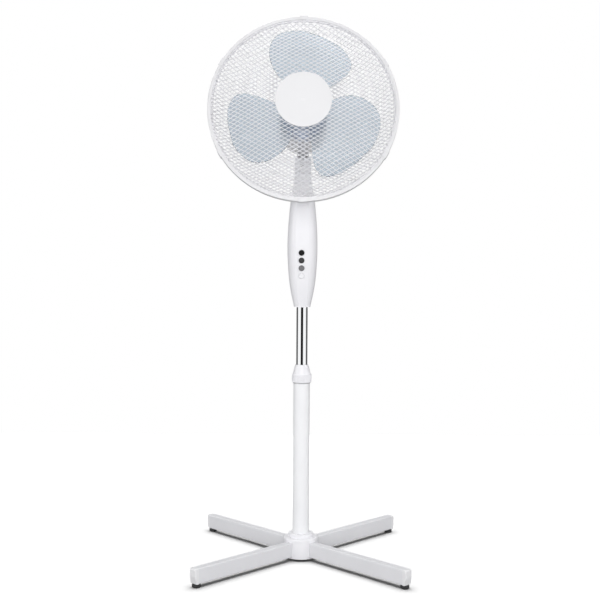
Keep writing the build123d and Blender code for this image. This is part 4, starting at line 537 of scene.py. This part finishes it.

# Guards: each net with its rim and its centre plate
# The rear net takes a darker copy of the net paint and the rear centre plate the motor's grey-blue:
# both painted shade
for side, centre, centre_u, rim_u, hole, half_width, net_finish, plate_slot in (
    (
        "rear", REAR_CENTRE_RADIUS, REAR_CENTRE_U, REAR_RIM_U, REAR_PLATE_HOLE,
        REAR_STRAND_HALF_WIDTH, "rear_net_painted_shade", "motor_grey",
    ),
    (
        "front", FRONT_CENTRE_RADIUS, FRONT_CENTRE_U, FRONT_RIM_U, FRONT_PLATE_HOLE,
        FRONT_STRAND_HALF_WIDTH, "net_paint", "net_paint",
    ),
):
    paint = finishes[net_finish]
    guard_net(f"{side}_net", centre, centre_u, rim_u, half_width, f"{side}_guard", paint)
    rim = rounded_bar(RIM_INNER, RIM_OUTER, rim_u, rim_u + NET_THICK, RIM_ROUNDING)
    spun(f"{side}_net_rim", rim, RIM_SEGMENTS, "head", paint)
    plate = rounded_bar(hole, centre + NET_THICK, centre_u, centre_u + NET_THICK, PLATE_ROUNDING)
    spun(f"{side}_centre_plate", plate, PLATE_SEGMENTS, "head", finishes[plate_slot])

# Impeller: three blades on a cup hub
clear = finishes["blade_clear"]
boss = rounded_bar(BOSS_BORE, BOSS_RADIUS, BOSS_BACK, HUB_FRONT, BOSS_ROUNDING)
spun("impeller_boss", boss, BOSS_SEGMENTS, "rotor", clear)
hub_cup = spun("impeller_cup", CUP_PROFILE, CUP_SEGMENTS, "rotor", clear)
for number, turn in enumerate(BLADE_TURNS, start=1):
    fan_blade(f"fan_blade_{number}", turn, clear)
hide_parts("impeller")

# Studio: pale floor, white surround, soft lights
FLOOR_HALF = 1.6
FLOOR_LIGHT_TONE = (0.40, 0.40, 0.40)
FLOOR_DARK_TONE = (0.395, 0.395, 0.395)
FLOOR_GLOSS = (0.8, 0.9)
FLOOR_NEAR_GLOW = 0.05  # share of the full glow in the middle of the floor


def smooth_step(tree, value, limits, results=(0.0, 1.0)):
    """A smooth step of a value between two limits, put between two results."""
    step = tree.nodes.new("ShaderNodeMapRange")
    step.interpolation_type = "SMOOTHSTEP"
    for label, number in zip(("From Min", "From Max", "To Min", "To Max"), (*limits, *results)):
        step.inputs[label].default_value = number
    tree.links.new(value, step.inputs["Value"])
    return step.outputs["Result"]


def floor_finish(lit, glow, bounce):
    """Matt pale floor that turns into a lit sweep away from the object: its glow grows smoothly with
    the distance from the middle. It throws back less light than it shows: rays other than the eye's see
    a darker grey, which dims the light on the fan's undersides."""
    material, shader = skin_material(
        "pale_floor", FLOOR_LIGHT_TONE, FLOOR_DARK_TONE, FLOOR_GLOSS, grain=300.0, bump=0.0, cloud=1.0
    )
    tree = material.node_tree
    reach = tree.nodes.new("ShaderNodeVectorMath")
    reach.operation = "LENGTH"
    tree.links.new(tree.nodes.new("ShaderNodeTexCoord").outputs["Object"], reach.inputs[0])
    grow = smooth_step(tree, reach.outputs["Value"], lit, (glow * FLOOR_NEAR_GLOW, glow))
    tree.links.new(grow, shader.inputs["Emission Strength"])
    tone = shader.inputs["Base Color"].links[0].from_socket
    dim = tree.nodes.new("ShaderNodeMix")
    dim.data_type = "RGBA"
    dim.inputs["A"].default_value = (bounce, bounce, bounce, 1)
    camera_ray = tree.nodes.new("ShaderNodeLightPath").outputs["Is Camera Ray"]
    tree.links.new(camera_ray, dim.inputs["Factor"])
    tree.links.new(tone, dim.inputs["B"])
    tree.links.new(dim.outputs["Result"], shader.inputs["Base Color"])
    tree.links.new(dim.outputs["Result"], shader.inputs["Emission Color"])
    return material


floor_mesh = bpy.data.meshes.new("pale_floor")
floor_corners = np.array([(-1, -1, 0), (1, -1, 0), (1, 1, 0), (-1, 1, 0)]) * FLOOR_HALF
floor_mesh.from_pydata(floor_corners.tolist(), [], [(0, 1, 2, 3)])
floor_mesh.materials.append(floor_finish(lit=(0.3, 0.8), glow=0.94, bounce=0.16))
floor = bpy.data.objects.new("pale_floor", floor_mesh)
bpy.context.scene.collection.objects.link(floor)

# Where each part of the white surround begins and ends, as shares of a direction
FLAG_EDGES = (0.85, 1.15)  # of the flag's half width
FLAG_TONE = 0.01
FLAG_HEIGHT = (0.15, 0.24)
FLAG_DEPTH = (-0.3, 0.0)
REAR_DEPTH = (-0.1, 0.1)
TENT_HEIGHT = (0.25, 0.5)
SKY_HEIGHT = (0.05, 0.5)


def white_surround(shown, cast, soft, low_soft, flag, strip, rear):
    """White tent: the eye sees an even white past the pieces and through the clear ones. Matt surfaces
    are lit by a soft sky that is dimmer towards and below the horizon. Polished ones mirror a tent
    that has, low down, a small dark flag in front, a bright strip on each side and a dimmer rear. The
    flag is a smooth dip by the sideways share of a direction, on the front side only, the rear is a
    smooth fall by its depth, and both end above and below by its height."""
    world = bpy.data.worlds.new("white_surround")
    world.use_nodes = True
    tree = world.node_tree
    nodes, links = tree.nodes, tree.links

    def join(operation, *values):
        """One step of arithmetic on other nodes' outputs."""
        step = nodes.new("ShaderNodeMath")
        step.operation = operation
        for value, socket in zip(values, step.inputs):
            links.new(value, socket)
        return step.outputs["Value"]

    way = nodes.new("ShaderNodeSeparateXYZ")
    links.new(nodes.new("ShaderNodeTexCoord").outputs["Generated"], way.inputs["Vector"])
    sideways = join("ABSOLUTE", way.outputs["X"])
    depth = way.outputs["Y"]
    height = join("ABSOLUTE", way.outputs["Z"])
    edges = [flag * edge for edge in FLAG_EDGES]
    dip = smooth_step(tree, sideways, edges, (FLAG_TONE, strip))
    over = smooth_step(tree, height, FLAG_HEIGHT, (0.0, strip))
    behind = smooth_step(tree, depth, FLAG_DEPTH, (0.0, strip))
    front = join("MAXIMUM", dip, join("MAXIMUM", over, behind))
    low = join("MULTIPLY", front, smooth_step(tree, depth, REAR_DEPTH, (1.0, rear / strip)))
    tent = nodes.new("ShaderNodeMix")
    links.new(smooth_step(tree, height, TENT_HEIGHT), tent.inputs["Factor"])
    links.new(low, tent.inputs["A"])
    tent.inputs["B"].default_value = 1.0
    sky_tone = smooth_step(tree, way.outputs["Z"], SKY_HEIGHT, (low_soft, 1.0))
    backdrop = nodes["Background"]
    glow = nodes.new("ShaderNodeBackground")
    sky = nodes.new("ShaderNodeBackground")
    for shade, strength in ((backdrop, shown), (glow, cast), (sky, soft)):
        shade.inputs["Strength"].default_value = strength
    backdrop.inputs["Color"].default_value = (1, 1, 1, 1)
    links.new(tent.outputs["Result"], glow.inputs["Color"])
    links.new(sky_tone, sky.inputs["Color"])
    path = nodes.new("ShaderNodeLightPath")
    seen = join("MAXIMUM", path.outputs["Is Camera Ray"], path.outputs["Is Transmission Ray"])
    shader = sky.outputs["Background"]
    for pick, other in ((path.outputs["Is Glossy Ray"], glow), (seen, backdrop)):
        choose = nodes.new("ShaderNodeMixShader")
        links.new(pick, choose.inputs["Fac"])
        links.new(shader, choose.inputs[1])
        links.new(other.outputs["Background"], choose.inputs[2])
        shader = choose.outputs["Shader"]
    links.new(shader, nodes["World Output"].inputs["Surface"])
    bpy.context.scene.world = world


white_surround(shown=1.0, cast=0.40, soft=0.38, low_soft=0.58, flag=0.41, strip=2.9, rear=0.3)
bpy.context.scene.view_settings.view_transform = "Standard"


def soft_light(name, place, aim, width, height, power):
    """A soft box that faces a point."""
    lamp = bpy.data.lights.new(name, "AREA")
    lamp.shape = "RECTANGLE"
    lamp.size = width
    lamp.size_y = height
    lamp.energy = power
    obj = bpy.data.objects.new(name, lamp)
    bpy.context.scene.collection.objects.link(obj)
    obj.location = place
    obj.rotation_euler = (Vector(place) - Vector(aim)).to_track_quat("Z", "Y").to_euler()
    return obj


def light_group(name, objects, state):
    """A named group of objects that a light keeps to (INCLUDE) or leaves out (EXCLUDE)."""
    group = bpy.data.collections.new(name)
    for obj in objects:
        group.objects.link(obj)
    for member in group.collection_objects:
        member.light_linking.link_state = state
    return group


# Boxes that light the fan: name, place, aim, width, height, power in watts
SOFT_BOXES = (
    ("front_softbox", (0.0, -4.0, 1.9), (0, 0, 0.4), 3.6, 2.2, 69),
    ("front_fill", (0.0, -4.0, 0.75), (0, 0, 0.75), 2.0, 1.0, 46),
    ("left_softbox", (-3.2, -1.2, 1.5), (0, 0, 0.6), 2.0, 1.6, 30),
    ("right_softbox", (3.2, -1.2, 1.5), (0, 0, 0.6), 2.0, 1.6, 30),
    ("top_softbox", (0.0, 0.9, 3.0), (0, 0, 0), 2.0, 2.0, 36),
    ("rear_softbox", (0.0, 3.8, 2.0), (0, 0, 0.6), 2.4, 1.8, 32),
)
FLOOR_BOX = ("floor_softbox", (0, 0.25, 3.0), (0, 0, 0), 3.0, 3.0, 250)
UNMIRRORED = ("front_fill", "rear_softbox")
BASE_NODES = (
    "base_hub", "base_cover", "leg_caps", "rubber_feet",
    "leg_front_left", "leg_front_right", "leg_rear_left", "leg_rear_right",
)

# The fan's boxes are flagged off the floor, which has a box of its own overhead, so that a soft
# shadow lies under each leg; only the base shades that box. The front fill stands at the camera's
# height, so that the guard shades what lies behind it and not the housing below. The fill and the
# rear box don't show in polished pieces, and none of the fan's boxes shows through the clear ones.
for name, *setting in SOFT_BOXES:
    box = soft_light(name, *setting)
    box.light_linking.receiver_collection = light_group(f"{name}_off_floor", [floor], "EXCLUDE")
    box.visible_glossy = name not in UNMIRRORED
    box.visible_transmission = False
floor_box = soft_light(*FLOOR_BOX)
base_pieces = [frame["nodes"][node] for node in BASE_NODES]
floor_box.light_linking.receiver_collection = light_group("floor_alone", [floor], "INCLUDE")
floor_box.light_linking.blocker_collection = light_group("shading_base", base_pieces, "INCLUDE")

# Camera at the photograph's viewing angle: it looks a little down, and is rolled a little
CAMERA_PLACE = (-0.00503, -2.4967, 0.7444)
CAMERA_PITCH = math.radians(90 - 3.142)
CAMERA_ROLL = math.radians(0.343)
LENS_MM = 64.45
SENSOR_MM = 36.0

lens = bpy.data.cameras.new("photo_view")
lens.sensor_width = SENSOR_MM
lens.lens = LENS_MM
camera = bpy.data.objects.new("photo_view", lens)
bpy.context.scene.collection.objects.link(camera)
camera.matrix_world = (
    Matrix.Translation(CAMERA_PLACE)
    @ Matrix.Rotation(CAMERA_PITCH, 4, "X")
    @ Matrix.Rotation(CAMERA_ROLL, 4, "Z")
)
bpy.context.scene.camera = camera
